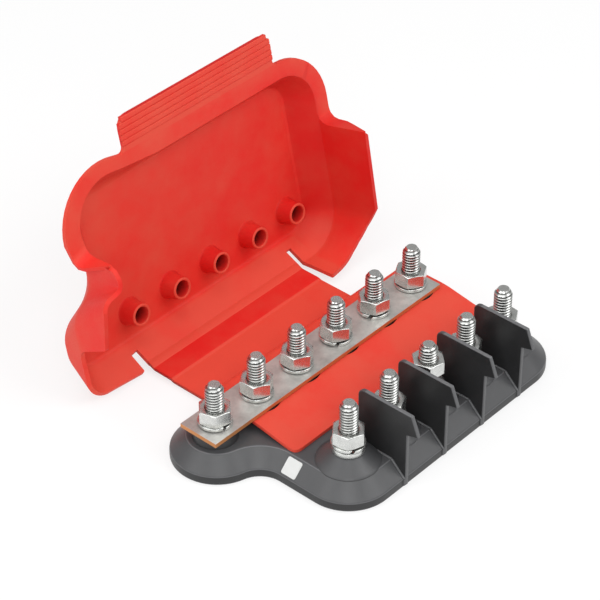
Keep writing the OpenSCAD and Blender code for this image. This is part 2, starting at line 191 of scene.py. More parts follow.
# Lines round the cover, from the roof to the free edge of the skirts: how far out the line runs, and
# also at the front, how far its flap beside the strap is splayed, and at the input lobe its side, the
# radius of its back corner, the ends of its straight side and the S curve into the body, as the radii
# of the bulge and the hollow and the angle between them; last, how far its left front corner is drawn
# to the front and to the left, and how far to the front it still is at the root of the tab
Line = namedtuple(
    "Line", "out front flap side corner notch side_end bulge hollow lean forward leftward narrow"
)
ROOF_LINE = Line(10.2, 11.7, 0, -73.2, 10.2, 25.5, 24, 10.2, 17, 62, -0.5, 0.6, -0.5)
BAND_LINE = Line(19.2, 19.2, 1.7, -75.5, 9.5, 24.6, 13, 10, 13, 60, 3.2, 0.6, 2)
EDGE_LINE = Line(21.4, 21.4, 1.7, -75.5, 9.5, 15.8, -2.2, 4.4, 3.6, 78, 3.2, 0.6, 2)
BRIM_LINE = BAND_LINE._replace(out=BRIM_R, front=BRIM_R, forward=1.8, leftward=1.2, narrow=0)

# X at which the front of a line is straight again, and the degrees that a corner drawn forward turns
NARROW_X = -14
DRAWN_TURN = 98

# Share of the height of the band at which the left front corner of the roof is bent down
BENT_SHARE = 1 / 6

# Places of the points along the left side of the body, as shares of its length
LEFT_SHARES = (0.25, 0.45, 0.62, 0.76, 0.88, 1)

# Free edges of the skirts, as (y, height), and of the flap right of the strap, as (x, height)
LEFT_EDGE = ((-18.8, 21.4), (-16.8, 18.4), (-13, 16.6), (-1, 16.8), (16, 21.4))
RIGHT_EDGE = ((25.5, 13), (37, 20.6), (42.5, 22.9), (46.5, 23.5))
RIGHT_FLAP = ((57.4, 20.9), (66.3, 22.3), (75.6, 23.5))

# Strap and tongue: the line of the sheet's underside, from the deck to the cover, as (y, z)
SHEET_T = 1.6
SHEET_ROUND = 0.5
STRAP_X = (SLIT_LEFT[1], SLIT_RIGHT[0])
TONGUE_X = (-50.2, 75.4)
TONGUE_CORNER = 3
TONGUE_HOLE_R = 10.3
TONGUE_BACK = 38.8
TONGUE_BEND = 3
TONGUE_LINE = ((-8, 11), (-3, 11), (15.4, 14), (41, 14))
STRAP_TOP = (48.39, 4.2)
STRAP_FLOOR = (51.4, 0.9)
STRAP_KNEE = (70.6, 72)
KNEE_RISE = 0.6
STRAP_CREASE = 2.9
STRAP_LAP = 1.5
STRAP_PROUD = 0.04
STRAP_BEND = 0.5

# A face of a rounded edge gets the painted highlight and wear below this width, where its edges turn by more
# degrees than this
EDGE_HIGHLIGHT_WIDTH = 1.0
EDGE_HIGHLIGHT_TURN = 11

# Modifier that every piece ends with
EVEN_NORMALS = ("WEIGHTED_NORMAL", {"mode": "FACE_AREA", "weight": 50, "keep_sharp": True})

# Tones painted on the red moulding: above nought a painted sheen or highlight, below nought painted shade
TAB_SHEEN = 0.8
TAB_TIP_SHADE = -0.25
RIDGE_HIGHLIGHT_AND_SHADE = (0.55, -0.1)
BRIM_SHEEN = 0.4
ROOF_SHEEN = 0.4
BACK_SHEEN = 0.7
WALL_SHADE = -0.09
SKIRT_SHEEN = 0.1
BOSS_RIM_HIGHLIGHT = 0.5
BOSS_SHADE = -0.12
TONGUE_SHEEN = 0.6
STRAP_SHEEN_AND_SHADE = (0.8, -0.08)

# Where behind the roof the painted sheen on the right wall starts, over what length it grows, and over what
# length the painted sheen on the roof fades
BACK_FADE_FROM = 3
BACK_FADE = 16
ROOF_FADE = 60

# Painted shade on the inner part of a spring washer, where the nut shades it
WASHER_SHADE = -0.6

# Studio: each lamp's name, place in metres, size and power, then the floor and the world
LAMPS = (
    ("Key light", (0.45, -0.85, 1.0), 0.9, 8.2),
    ("Side light", (-0.95, 0.30, 0.75), 0.8, 4.2),
    ("Top light", (-0.1, 0.2, 1.3), 1.0, 5),
    ("Front fill", (-0.80, -0.72, 0.95), 0.7, 5.8),
)
LAMP_AIM = Vector((0.02, 0.03, 0.02))
FLOOR_SIZE = 3.0
FLOOR_Z = -0.0002
FLOOR_GLOW = 0.72
FLOOR_COLOUR = (0.93, 0.93, 0.93, 1)
WORLD_FILL = 0.38
WHITE = (1, 1, 1, 1)
BLACK = (0, 0, 0, 1)

# Camera, fitted to the photograph
CAMERA_AT = Vector((-580.69, -486.83, 639.73)) * MM
CAMERA_AZIMUTH = 41.93
CAMERA_ELEVATION = 37.53
CAMERA_ROLL = 0.20
CAMERA_LENS = 139.2
SENSOR_WIDTH = 36
CLIP_START = 0.01


class HolderSizes(bpy.types.PropertyGroup):
    """Small sizes that only the visible pieces have."""

    base_round: FloatProperty(
        name="Base edge radius", description="Rounding of the base edges", default=0.7 * MM, unit="LENGTH"
    )
    divider_round: FloatProperty(
        name="Divider edge radius", description="Rounding of the divider edges", default=0.5 * MM,
        unit="LENGTH",
    )
    cover_round: FloatProperty(
        name="Cover edge radius", description="Rounding of the cover edges", default=0.6 * MM, unit="LENGTH"
    )
    roof_round: FloatProperty(
        name="Roof edge radius", description="Rounding between the roof and its band", default=1.0 * MM,
        unit="LENGTH",
    )
    metal_round: FloatProperty(
        name="Metal edge radius", description="Rounding of nut, washer and bar edges", default=0.22 * MM,
        unit="LENGTH",
    )
    thread_pitch: FloatProperty(
        name="Thread pitch", description="Distance between thread crests", default=1.4 * MM, unit="LENGTH"
    )
    thread_depth: FloatProperty(
        name="Thread depth", description="Depth of the thread groove", default=0.75 * MM, unit="LENGTH"
    )


class HolderColours(bpy.types.PropertyGroup):
    """Colours of the finishes."""

    red: FloatVectorProperty(
        name="Cover red", description="Soft red moulding", subtype="COLOR", default=(0.74, 0.018, 0.014)
    )
    # Lighter red that stands for a painted sheen on the moulding
    sheen: FloatVectorProperty(
        name="Red bloom", description="Sheen tone of the soft red moulding", subtype="COLOR",
        default=(0.70, 0.070, 0.042),
    )
    dark: FloatVectorProperty(
        name="Base grey", description="Dark base moulding", subtype="COLOR", default=(0.018, 0.0182, 0.019)
    )
    zinc: FloatVectorProperty(
        name="Zinc", description="Plated studs, nuts and washers", subtype="COLOR", default=(0.70, 0.71, 0.69)
    )
    tin: FloatVectorProperty(
        name="Tin", description="Plated faces of the bus bar", subtype="COLOR", default=(0.56, 0.55, 0.52)
    )
    copper: FloatVectorProperty(
        name="Copper", description="Bare cut edges of the bus bar", subtype="COLOR",
        default=(0.60, 0.25, 0.09),
    )
    paper: FloatVectorProperty(
        name="Label", description="Blank label", subtype="COLOR", default=(0.70, 0.71, 0.70)
    )


# Mesh tools


def clamped(value):
    return min(1, max(0, value))


def verts_of(geom):
    return [g for g in geom if isinstance(g, bmesh.types.BMVert)]


def edges_of(geom):
    return [g for g in geom if isinstance(g, bmesh.types.BMEdge)]


def edges_at(verts):
    """All edges that meet some vertices."""
    return list({e for v in verts for e in v.link_edges})


def level_edges(bm, z):
    """Edges that lie flat at a height."""
    return [e for e in bm.edges if all(abs(v.co.z - z) < 1e-4 for v in e.verts)]


def sharp_edges(bm, angle):
    """Edges whose two faces turn by more than some degrees."""
    return [e for e in bm.edges if len(e.link_faces) == 2 and e.calc_face_angle() > radians(angle)]


def chain(bm, points, closed=False):
    """Vertices and edges through a few points."""
    verts = [bm.verts.new(p) for p in points]
    ends = verts[1:] + verts[:1] if closed else verts[1:]
    edges = [bm.edges.new(pair) for pair in zip(verts, ends)]
    return verts, edges


def draw_out(bm, edges, move):
    """Extrude edges by a move, and give the new verts and edges."""
    verts = verts_of(bmesh.ops.extrude_edge_only(bm, edges=edges)["geom"])
    bmesh.ops.translate(bm, vec=move, verts=verts)
    found = set(verts)
    return verts, [e for v in found for e in v.link_edges if e.other_vert(v) in found and e.verts[0] is v]


def plate(bm, points, move):
    """A flat outline drawn out into a closed plate; gives its edges."""
    face = bm.faces.new([bm.verts.new(p) for p in points])
    made = bmesh.ops.extrude_face_region(bm, geom=[face])["geom"]
    verts = verts_of(made)
    bmesh.ops.translate(bm, vec=move, verts=verts)
    faces = {face}
    for v in verts:
        faces.update(v.link_faces)
    bmesh.ops.recalc_face_normals(bm, faces=list(faces))
    return list({e for f in faces for e in f.edges})


def round_edges(bm, edges, radius, segments=3, affect="EDGES"):
    bmesh.ops.bevel(
        bm, geom=edges, offset=radius, offset_type="OFFSET", segments=segments, profile=0.5,
        affect=affect, clamp_overlap=True, material=-1,
    )


def round_corners(bm, verts, radius, segments=6):
    round_edges(bm, verts, radius, segments, "VERTICES")


def spun(bm, section, at, steps=48):
    """A closed section of (out, up) points turned all the way round an upright axis."""
    verts, edges = chain(bm, [(at[0] + r, at[1], z) for r, z in section], True)
    bmesh.ops.spin(
        bm, geom=verts + edges, cent=(at[0], at[1], 0), axis=UP, angle=2 * pi, steps=steps,
        use_merge=True, use_duplicate=False,
    )


def outline(left, right, front, back, lobe):
    """Steps round the holder, from its front left corner and anticlockwise seen from above."""
    cx = left - LOBE_REACH
    cy = back - sqrt(LOBE_REACH**2 - (lobe - cx) ** 2)
    turn = atan2(back - cy, lobe - cx)
    return Vector((left, front)), [
        ("run", (right, front)), ("turn", (right, front), pi / 2),
        ("run", (right, back)), ("turn", (right, back), pi / 2),
        ("run", (lobe, back)), ("turn", (lobe, back), pi / 2 + turn), ("turn", (cx, cy), -turn),
        ("run", (left, front)), ("turn", (left, front), pi / 2),
    ]


def sweep(bm, section, path):
    """Carry a chain of (out, up) points once along an outline, from its front side."""
    at, steps = path
    verts, edges = chain(bm, [(at.x, at.y - r, z) for r, z in section])
    for kind, where, *angle in steps:
        if kind == "run":
            verts, edges = draw_out(bm, edges, (Vector(where) - at).to_3d())
            at = Vector(where)
        else:
            turn = angle[0]
            made = bmesh.ops.spin(
                bm, geom=verts + edges, cent=(where[0], where[1], 0), axis=UP, angle=turn,
                steps=max(3, ceil(abs(turn) / radians(6))), use_duplicate=False,
            )["geom_last"]
            verts, edges = verts_of(made), edges_of(made)
            about = Vector(where)
            at = about + Matrix.Rotation(turn, 2) @ (at - about)


def merge(bm, dist=0.002):
    bmesh.ops.remove_doubles(bm, verts=bm.verts[:], dist=dist)


def face_out(bm):
    bmesh.ops.recalc_face_normals(bm, faces=bm.faces[:])


def face_up(bm):
    """Turn the normals of an open sheet upwards."""
    face_out(bm)
    if sum(f.normal.z * f.calc_area() for f in bm.faces) < 0:
        bmesh.ops.reverse_faces(bm, faces=bm.faces[:])


def cut(bm, faces, at, normal, keep_above=False):
    """Cut some faces along a plane; keep_above drops what lies on the plane's other side."""
    geom = list({*faces, *(e for f in faces for e in f.edges), *(v for f in faces for v in f.verts)})
    bmesh.ops.bisect_plane(
        bm, geom=geom, dist=0.0005, plane_co=at, plane_no=normal, clear_inner=keep_above,
        clear_outer=False,
    )


def arc(centre, radius, start, turn, steps=12):
    """Points along an arc, its ends included; start and turn are in degrees."""
    angles = [radians(start + turn * k / steps) for k in range(steps + 1)]
    return [(centre[0] + radius * cos(a), centre[1] + radius * sin(a)) for a in angles]


def strip(bm, rows, closed=False):
    """A sheet drawn out from the first row of points to each next row, all with the same count."""
    verts, edges = chain(bm, rows[0], closed)
    for row in rows[1:]:
        made = set(verts_of(bmesh.ops.extrude_edge_only(bm, edges=edges)["geom"]))
        verts = [next(e.other_vert(v) for e in v.link_edges if e.other_vert(v) in made) for v in verts]
        for v, point in zip(verts, row):
            v.co = point
        edges = list({e for v in verts for e in v.link_edges if e.other_vert(v) in made})


def level_at(points, along):
    """Height at a place on a line through (place, height) points, level beyond its ends."""
    for (a, z0), (b, z1) in zip(points, points[1:]):
        if along <= b:
            return z0 + (z1 - z0) * max(0, along - a) / (b - a)
    return points[-1][1]


def at_height(points, z):
    return [(x, y, z) for x, y in points]


def softened(points, radius, steps=4):
    """A line through points with its inner corners rounded."""
    line = [points[0]]
    for before, corner, after in zip(points, points[1:], points[2:]):
        before, corner, after = Vector(before), Vector(corner), Vector(after)
        reach = min(radius, 0.45 * (before - corner).length, 0.45 * (after - corner).length)
        start = corner + (before - corner).normalized() * reach
        end = corner + (after - corner).normalized() * reach
        for k in range(steps + 1):
            s = k / steps
            line.append(tuple((1 - s) ** 2 * start + 2 * s * (1 - s) * corner + s**2 * end))
    return line + [points[-1]]


def mesh_from(bm, name):
    """A mesh made of a bmesh, which is then done with."""
    mesh = bpy.data.meshes.new(name)
    bm.to_mesh(mesh)
    bm.free()
    return mesh


def linked(name, data):
    """An object made of a mesh, lamp or camera, in the scene."""
    obj = bpy.data.objects.new(name, data)
    bpy.context.scene.collection.objects.link(obj)
    return obj


def piece(bm, name, finish, body, nodes, modifiers=(), place=None):
    """Turn a bmesh into a finished object that rides on a body and stands for CAD nodes."""
    bm.transform(place or Matrix.Identity(4))
    bm.transform(Matrix.Scale(MM, 4))
    mesh = mesh_from(bm, name)
    obj = linked(name, mesh)
    mesh.materials.append(finish)
    for polygon in mesh.polygons:
        polygon.use_smooth = True
    for kind, settings in (*modifiers, EVEN_NORMALS):
        modifier = obj.modifiers.new(kind.title(), kind)
        for key, value in settings.items():
            setattr(modifier, key, value)
    settle(obj)
    mark_edges(obj.data)
    if body:
        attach(obj, body)
    if nodes:
        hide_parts(*nodes)
    return obj


def settle(obj):
    """Make the modifiers part of the mesh, so that the piece is final."""
    bpy.context.view_layer.update()
    solid = obj.evaluated_get(bpy.context.evaluated_depsgraph_get())
    mesh = bpy.data.meshes.new_from_object(solid)
    old = obj.data
    obj.modifiers.clear()
    obj.data = mesh
    mesh.name = obj.name
    bpy.data.meshes.remove(old)


def is_turned(edge):
    """Whether an edge stands out, as those along a rounded outer edge do."""
    return len(edge.link_faces) == 2 and edge.calc_face_angle_signed() > radians(EDGE_HIGHLIGHT_TURN)


def mark_edges(mesh):
    """Mark the narrow faces of rounded outer edges, which are painted lighter: a painted edge highlight, with
    some wear.
    """
    bm = bmesh.new()
    bm.from_mesh(mesh)
    edge_highlight_and_wear = []
    for f in bm.faces:
        longest = sorted(f.edges, key=lambda e: e.calc_length())[-2:]
        narrow = f.calc_area() < EDGE_HIGHLIGHT_WIDTH * MM * longest[-1].calc_length()
        edge_highlight_and_wear.append(float(narrow and all(is_turned(e) for e in longest)))
    bm.free()
    mesh.attributes.new("edge_highlight_and_wear", "FLOAT", "FACE").data.foreach_set("value", edge_highlight_and_wear)


def bevel_modifier(width, segments=2, angle=30):
    return (
        "BEVEL",
        {
            "width": width, "segments": segments, "limit_method": "ANGLE", "angle_limit": radians(angle),
            "profile": 0.5, "use_clamp_overlap": True,
        },
    )


def thickened(thickness):
    return ("SOLIDIFY", {"thickness": thickness * MM, "offset": 1.0, "use_even_offset": True})


def copied(node):
    """A merged copy of a CAD node's mesh in millimetres, with its flat faces whole."""
    bm = bmesh.new()
    bm.from_mesh(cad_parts[node].data)
    bm.transform(Matrix.Scale(1 / MM, 4))
    merge(bm, 0.001)
    bmesh.ops.dissolve_limit(
        bm, angle_limit=radians(1), use_dissolve_boundaries=False, verts=bm.verts[:], edges=bm.edges[:]
    )
    return bm


def stud_place(node):
    low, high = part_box(node)
    return (low[0] + high[0]) / 2 / MM, (low[1] + high[1]) / 2 / MM, high[2] / MM


def paint_light_and_shade(bm, tone):
    """Store a tone at each vertex: above nought for a painted sheen or highlight, below nought for painted
    shade.
    """
    layer = bm.verts.layers.float.new("tone")
    for v in bm.verts:
        v[layer] = tone(v.co)


# Materials


def add(tree, kind, links=(), **settings):
    """Add a node; links are pairs of an input's name or number and what feeds it, a socket or a value."""
    node = tree.nodes.new(kind)
    for key, value in settings.items():
        setattr(node, key, value)
    for key, value in links:
        if isinstance(value, bpy.types.NodeSocket):
            tree.links.new(value, node.inputs[key])
        else:
            node.inputs[key].default_value = value
    return node


def noise(tree, place, scale, detail, roughness):
    links = [("Vector", place), ("Scale", scale), ("Detail", detail), ("Roughness", roughness)]
    return add(tree, "ShaderNodeTexNoise", links).outputs["Fac"]


def ranged(tree, value, low, high, to_low=0.0, to_high=1.0):
    """A value carried from the range low to high over to another range."""
    links = [("Value", value), ("From Min", low), ("From Max", high), ("To Min", to_low), ("To Max", to_high)]
    return add(tree, "ShaderNodeMapRange", links).outputs["Result"]


def maths(tree, operation, *values, clamp=False):
    return add(tree, "ShaderNodeMath", enumerate(values), operation=operation, use_clamp=clamp).outputs[0]


def attribute(tree, name):
    return add(tree, "ShaderNodeAttribute", attribute_name=name).outputs["Fac"]


def upward(tree, normal):
    """How far a face looks up, by one of the normals of its geometry."""
    looks = add(tree, "ShaderNodeNewGeometry").outputs[normal]
    return add(tree, "ShaderNodeSeparateXYZ", [("Vector", looks)]).outputs["Z"]


def blend_colours(tree, factor, first, second):
    return add(tree, "ShaderNodeMix", ((0, factor), (6, first), (7, second)), data_type="RGBA").outputs[2]


def group(name, inputs):
    """A node group that gives out a colour, a gloss and a height; gives its tree and what it is given."""
    tree = bpy.data.node_groups.new(name, "ShaderNodeTree")
    for socket, kind, value in inputs:
        made = tree.interface.new_socket(name=socket, in_out="INPUT", socket_type="NodeSocket" + kind)
        made.default_value = value
    for socket, kind in (("Color", "Color"), ("Roughness", "Float"), ("Height", "Float")):
        tree.interface.new_socket(name=socket, in_out="OUTPUT", socket_type="NodeSocket" + kind)
    return tree, tree.nodes.new("NodeGroupInput").outputs


def give_out(tree, given, tone, grain):
    """Darken a colour toward the shade tone where the painted tone lies below nought, which is painted shade,
    and give it out with a grain.
    """
    depth = maths(tree, "MULTIPLY", attribute(tree, "tone"), -1.0, clamp=True)
    tone = blend_colours(tree, depth, tone, given["Deep Tone"])
    gloss = ranged(tree, grain, 0.3, 0.7, given["Gloss Low"], given["Gloss High"])
    add(tree, "NodeGroupOutput", [("Color", tone), ("Roughness", gloss), ("Height", grain)])


def mottle_group():
    """Cloudy change of tone, painted lighter along rounded edges (a painted highlight, with some wear), on
    faces that look up (a painted sheen) and where a painted sheen or shade is stored, with fine grain for the
    bump and the gloss.
    """
    tree, given = group("Moulded mottle", [
        ("Tone", "Color", WHITE),
        ("Light Tone", "Color", WHITE),
        ("Deep Tone", "Color", BLACK),
        ("Cloud Scale", "Float", 90),
        ("Cloud Share", "Float", 1),
        ("Rubbed Share", "Float", 0.6),
        ("Dust Share", "Float", 0),
        ("Grain Scale", "Float", 2200),
        ("Gloss Low", "Float", 0.35),
        ("Gloss High", "Float", 0.5),
    ])
    place = add(tree, "ShaderNodeTexCoord").outputs["Object"]
    cloud = noise(tree, place, given["Cloud Scale"], 4, 0.6)
    grain = noise(tree, place, given["Grain Scale"], 3, 0.55)
    clouded = ranged(tree, cloud, 0.32, 0.68, 0, given["Cloud Share"])
    # Painted highlight along rounded edges, with some wear, on top of the cloudy mottle
    mottled_worn_and_highlit = maths(tree, "MULTIPLY_ADD", attribute(tree, "edge_highlight_and_wear"), given["Rubbed Share"], clouded)
    # Painted sheen: faces that look up are lighter
    top_sheen = ranged(tree, upward(tree, "Normal"), 0.2, 0.6, 0, given["Dust Share"])
    mottle_highlight_and_sheen = maths(tree, "ADD", mottled_worn_and_highlit, top_sheen)
    # The stored tone adds a painted sheen above nought
    sheen = maths(tree, "ADD", mottle_highlight_and_sheen, attribute(tree, "tone"), clamp=True)
    give_out(tree, given, blend_colours(tree, sheen, given["Tone"], given["Light Tone"]), grain)
    return tree


def plating_group():
    """Faint patches and fine drawn lines on plated metal."""
    tree, given = group("Plated metal", [
        ("Tone", "Color", WHITE),
        ("Dull Tone", "Color", WHITE),
        ("Deep Tone", "Color", BLACK),
        ("Patch Scale", "Float", 300),
        ("Line Stretch", "Vector", (1, 1, 1)),
        ("Gloss Low", "Float", 0.2),
        ("Gloss High", "Float", 0.35),
    ])
    place = add(tree, "ShaderNodeTexCoord").outputs["Object"]
    patch = noise(tree, place, given["Patch Scale"], 5, 0.65)
    factors = [(0, place), (1, given["Line Stretch"])]
    drawn = add(tree, "ShaderNodeVectorMath", factors, operation="MULTIPLY").outputs["Vector"]
    lines = noise(tree, drawn, 2600, 3, 0.6)
    dull = ranged(tree, patch, 0.35, 0.7)
    give_out(tree, given, blend_colours(tree, dull, given["Tone"], given["Dull Tone"]), lines)
    return tree


def made_once(name, build):
    return bpy.data.node_groups.get(name) or build()


def grown(colour, factor):
    return tuple(min(1.0, c * factor) for c in colour) + (1.0,)


def surfaced(name, tree_group, values, bump, **shader):
    """A material whose colour, gloss and bump come from a node group; shader holds plain settings."""
    found = bpy.data.materials.get(name)
    if found:
        return found
    material = bpy.data.materials.new(name)
    material.use_nodes = True
    tree = material.node_tree
    bsdf = tree.nodes["Principled BSDF"]
    effect = add(tree, "ShaderNodeGroup", node_tree=tree_group)
    for key, value in values.items():
        effect.inputs[key].default_value = value
    raised = add(
        tree, "ShaderNodeBump",
        [("Height", effect.outputs["Height"]), ("Strength", bump[0]), ("Distance", bump[1])],
    )
    for node, given, taken in (
        (effect, "Color", "Base Color"), (effect, "Roughness", "Roughness"), (raised, "Normal", "Normal")
    ):
        tree.links.new(node.outputs[given], bsdf.inputs[taken])
    for key, value in shader.items():
        bsdf.inputs[key.replace("_", " ").title().replace("Ior", "IOR")].default_value = value
    return material


def red_moulding(colours):
    # Rounded edges of the red parts are painted lighter, a painted highlight with some wear
    return surfaced(
        "Soft red moulding", made_once("Moulded mottle", mottle_group),
        {
            "Tone": grown(colours.red, 1.0), "Light Tone": grown(colours.sheen, 1.0),
            "Deep Tone": grown(colours.red, 0.1), "Cloud Scale": 55, "Cloud Share": 0.6,
            "Rubbed Share": 0.9, "Grain Scale": 1500, "Gloss Low": 0.48, "Gloss High": 0.64,
        },
        (0.12, 0.0003), specular_ior_level=0.22,
    )


def dark_moulding(colours):
    # The base is painted lighter on faces that look up, a painted sheen, and along rounded edges, a painted
    # highlight with some wear
    return surfaced(
        "Dark base moulding", made_once("Moulded mottle", mottle_group),
        {
            "Tone": grown(colours.dark, 0.9), "Light Tone": grown(colours.dark, 7.5), "Cloud Scale": 120,
            "Cloud Share": 0.05, "Rubbed Share": 0.5, "Dust Share": 0.42, "Grain Scale": 2600,
            "Gloss Low": 0.34, "Gloss High": 0.46,
        },
        (0.18, 0.0003), specular_ior_level=0.5,
    )


def zinc_plate(colours):
    return surfaced(
        "Zinc plate", made_once("Plated metal", plating_group),
        {
            "Tone": grown(colours.zinc, 1.05), "Dull Tone": grown(colours.zinc, 0.86),
            "Deep Tone": grown(colours.zinc, 0.08), "Patch Scale": 420, "Line Stretch": (1, 1, 1),
            "Gloss Low": 0.2, "Gloss High": 0.31,
        },
        (0.04, 0.0002), metallic=0.96,
    )


def tinned_bar(colours):
    material = surfaced(
        "Tinned copper bar", made_once("Plated metal", plating_group),
        {
            "Tone": grown(colours.tin, 1.05), "Dull Tone": grown(colours.tin, 0.62), "Patch Scale": 90,
            "Line Stretch": (0.05, 1, 1), "Gloss Low": 0.38, "Gloss High": 0.52,
        },
        (0.12, 0.0002), metallic=0.55,
    )
    tree = material.node_tree
    bsdf = tree.nodes["Principled BSDF"]
    plated = bsdf.inputs["Base Color"].links[0].from_socket
    bare = ranged(tree, maths(tree, "ABSOLUTE", upward(tree, "True Normal")), 0.25, 0.45, 1, 0)
    copper = blend_colours(tree, bare, plated, grown(colours.copper, 1.0))
    tree.links.new(copper, bsdf.inputs["Base Color"])
    return material


def blank_paper(colours):
    return surfaced(
        "Blank label", made_once("Moulded mottle", mottle_group),
        {
            "Tone": grown(colours.paper, 0.95), "Light Tone": grown(colours.paper, 1.0), "Cloud Scale": 500,
            "Grain Scale": 4000, "Gloss Low": 0.45, "Gloss High": 0.6,
        },
        (0.1, 0.0001),
    )


# Lines of the cover


def between(first, second, share):
    """A line of the cover part way between two others."""
    return Line(*(a + (b - a) * share for a, b in zip(first, second)))


BENT_LINE = between(ROOF_LINE, BAND_LINE, BENT_SHARE)._replace(forward=2.8, narrow=1.8)


def input_side(line):
    """The S curve of the input lobe, from its straight side to the side of the body."""
    lean = radians(line.lean)
    width = COVER_LEFT - line.out - line.side
    straight = (width - (line.bulge + line.hollow) * (1 - cos(lean))) / sin(lean)
    bulge = arc((line.side + line.bulge, line.side_end), line.bulge, 180, line.lean, 8)
    x = bulge[-1][0] + straight * sin(lean) - line.hollow * cos(lean)
    y = bulge[-1][1] - straight * cos(lean) - line.hollow * sin(lean)
    return bulge + arc((x, y), line.hollow, line.lean, -line.lean, 8)


def brim_part(line, skew=0):
    """The front of a line, from the left step round to the right step; skew moves its left end back."""
    left, right, front = COVER_LEFT - line.out, LAST_X + line.out, COVER_FRONT - line.front
    turn = DRAWN_TURN if line.forward > 0 else 90
    return (
        [(left, LEFT_STEP - BEND_R + skew)]
        + arc((COVER_LEFT - line.leftward, front + line.out - line.forward), line.out, 180, turn)
        + [(TAB_X[0] - TAB_FILLET, front - line.narrow), (NARROW_X, front), (TAB_X[1] + TAB_FILLET, front)]
        + arc((LAST_X, front + line.out), line.out, 270, 90)
        + [(right, RIGHT_STEP - BEND_R)]
    )


def left_run(line, end):
    """The side of the body, from the S curve to the left step."""
    start = input_side(line)[-1]
    return [(start[0], start[1] + share * (end - start[1])) for share in LEFT_SHARES]


def right_edge(x, y):
    """Height of the free edge on the right, at a place on its wall."""
    return min(level_at(RIGHT_EDGE, y), level_at(RIGHT_FLAP, x))


def right_part(line):
    return arc((LAST_X, COVER_BACK), line.out, 0, 90, 14) + [(SLIT_RIGHT[1], COVER_BACK + line.out)]


def whole_line(line):
    back = COVER_BACK + line.out
    rear = [(SLIT_RIGHT[0], back), (SLIT_LEFT[1], back), (SLIT_LEFT[0], back + line.flap)]
    lobe = arc((line.side + line.corner, back - line.corner), line.corner, 90, 90, 10)
    side = [(line.side, line.notch)] + input_side(line) + left_run(line, LEFT_STEP - BEND_R)[:-1]
    return brim_part(line) + right_part(line) + rear + lobe + side


# Pieces


class FUSE_OT_base(bpy.types.Operator):
    """Moulded base with its sloped band, bosses, cones, dividers and bolt pockets"""

    bl_idname = "fuse_holder.base"
    bl_label = "Base"

    def execute(self, context):
        sizes = context.scene.fuse_sizes
        radius = sizes.base_round / MM
        bm = bmesh.new()
        path = outline(FIRST_X, LAST_X, OUT_Y, BUS_Y, LOBE_X)
        sweep(bm, [(RIM_R, DECK_H), (OUTLINE_R, LIP_H), (OUTLINE_R, 0)], path)
        merge(bm)
        rims = level_edges(bm, DECK_H) + level_edges(bm, LIP_H) + level_edges(bm, 0)
        bmesh.ops.contextual_create(bm, geom=level_edges(bm, DECK_H))
        under = level_edges(bm, 0)
        pocket_r = (HEX_FLATS + POCKET_PLAY) / 2 / cos(pi / 6)
        studs = [(FIRST_X + PITCH * (i - 1), BUS_Y) for i in range(WAYS + 1)]
        studs += [(FIRST_X + PITCH * i, OUT_Y) for i in range(WAYS)]
        pockets = []
        for x, y in studs:
            ring = bmesh.ops.create_circle(
                bm, segments=6, radius=pocket_r,
                matrix=Matrix.Translation((x, y, 0)) @ Matrix.Rotation(pi / 2, 4, "Z"),
            )["verts"]
            pockets.append(edges_at(ring))
        bmesh.ops.triangle_fill(bm, use_beauty=True, edges=under + [e for p in pockets for e in p])
        for edges in pockets:
            ceiling = draw_out(bm, edges, (0, 0, HEAD_LOW + HEAD_H))[1]
            bmesh.ops.contextual_create(bm, geom=ceiling)
        face_out(bm)
        round_edges(bm, [e for e in rims if e.is_valid], radius)
        boss = [(0.5, DECK_H - 1), (BOSS_FOOT_R, DECK_H - 1), (BOSS_FOOT_R, DECK_H)]
        boss += [(BOSS_TOP_R + 0.2, BAR_Z - 0.4), (BOSS_TOP_R - 0.2, BAR_Z), (0.5, BAR_Z)]
        for at in studs[: WAYS + 1]:
            spun(bm, boss, at)
        cone = [(0.5, DECK_H - 1), (CONE_FOOT_R + 0.6, DECK_H - 1), (CONE_FOOT_R + 0.6, DECK_H)]
        cone += [(CONE_FOOT_R - 0.5, DECK_H + 0.6), (CONE_TOP_R + 0.3, CONE_Z - 0.35)]
        cone += [(CONE_TOP_R - 0.2, CONE_Z), (0.5, CONE_Z)]
        for at in studs[WAYS + 1 :]:
            spun(bm, cone, at, steps=64)
        solids = bmesh.new()
        for i in range(WAYS - 1):
            self.divider(solids, FIRST_X + PITCH * (i + 0.5))
        round_edges(solids, solids.edges[:], sizes.divider_round / MM)
        extra = mesh_from(solids, "dividers")
        bm.from_mesh(extra)
        bpy.data.meshes.remove(extra)
        finish = dark_moulding(context.scene.fuse_colours)
        piece(bm, "base_moulding", finish, "holder", ["base"])
        return {"FINISHED"}

    def divider(self, bm, x):
        """One divider plate and the low rib on its input side."""
        outer = OUT_Y - OUTLINE_R - HEEL_PROUD
        inner = OUT_Y + DIVIDER_IN
        top = OUT_Y - DIVIDER_OUT
        corner = arc((inner - DIVIDER_CORNER, DIVIDER_TOP - DIVIDER_CORNER), DIVIDER_CORNER, 0, 90, 6)
        shape = [(inner, DIVIDER_FOOT), *corner, (top, DIVIDER_TOP), (top - NOSE_OUT, NOSE_Z)]
        shape += [(outer, HEEL_Z), (outer, DIVIDER_FOOT)]
        plate(bm, [(x - DIVIDER_T / 2, y, z) for y, z in shape], (DIVIDER_T, 0, 0))
        ledge = OUT_Y - OUTLINE_R - RIB_RISE
        shape = [(inner, DIVIDER_FOOT), (inner, DECK_H + RIB_RISE)]
        shape += [(OUT_Y - RIM_R - RIB_RISE / 2, DECK_H + RIB_RISE), (ledge, LIP_H + RIB_RISE / 2)]
        shape += [(ledge, DIVIDER_FOOT)]
        plate(bm, [(x - DIVIDER_T / 2 - RIB_T, y, z) for y, z in shape], (RIB_T + 0.5, 0, 0))


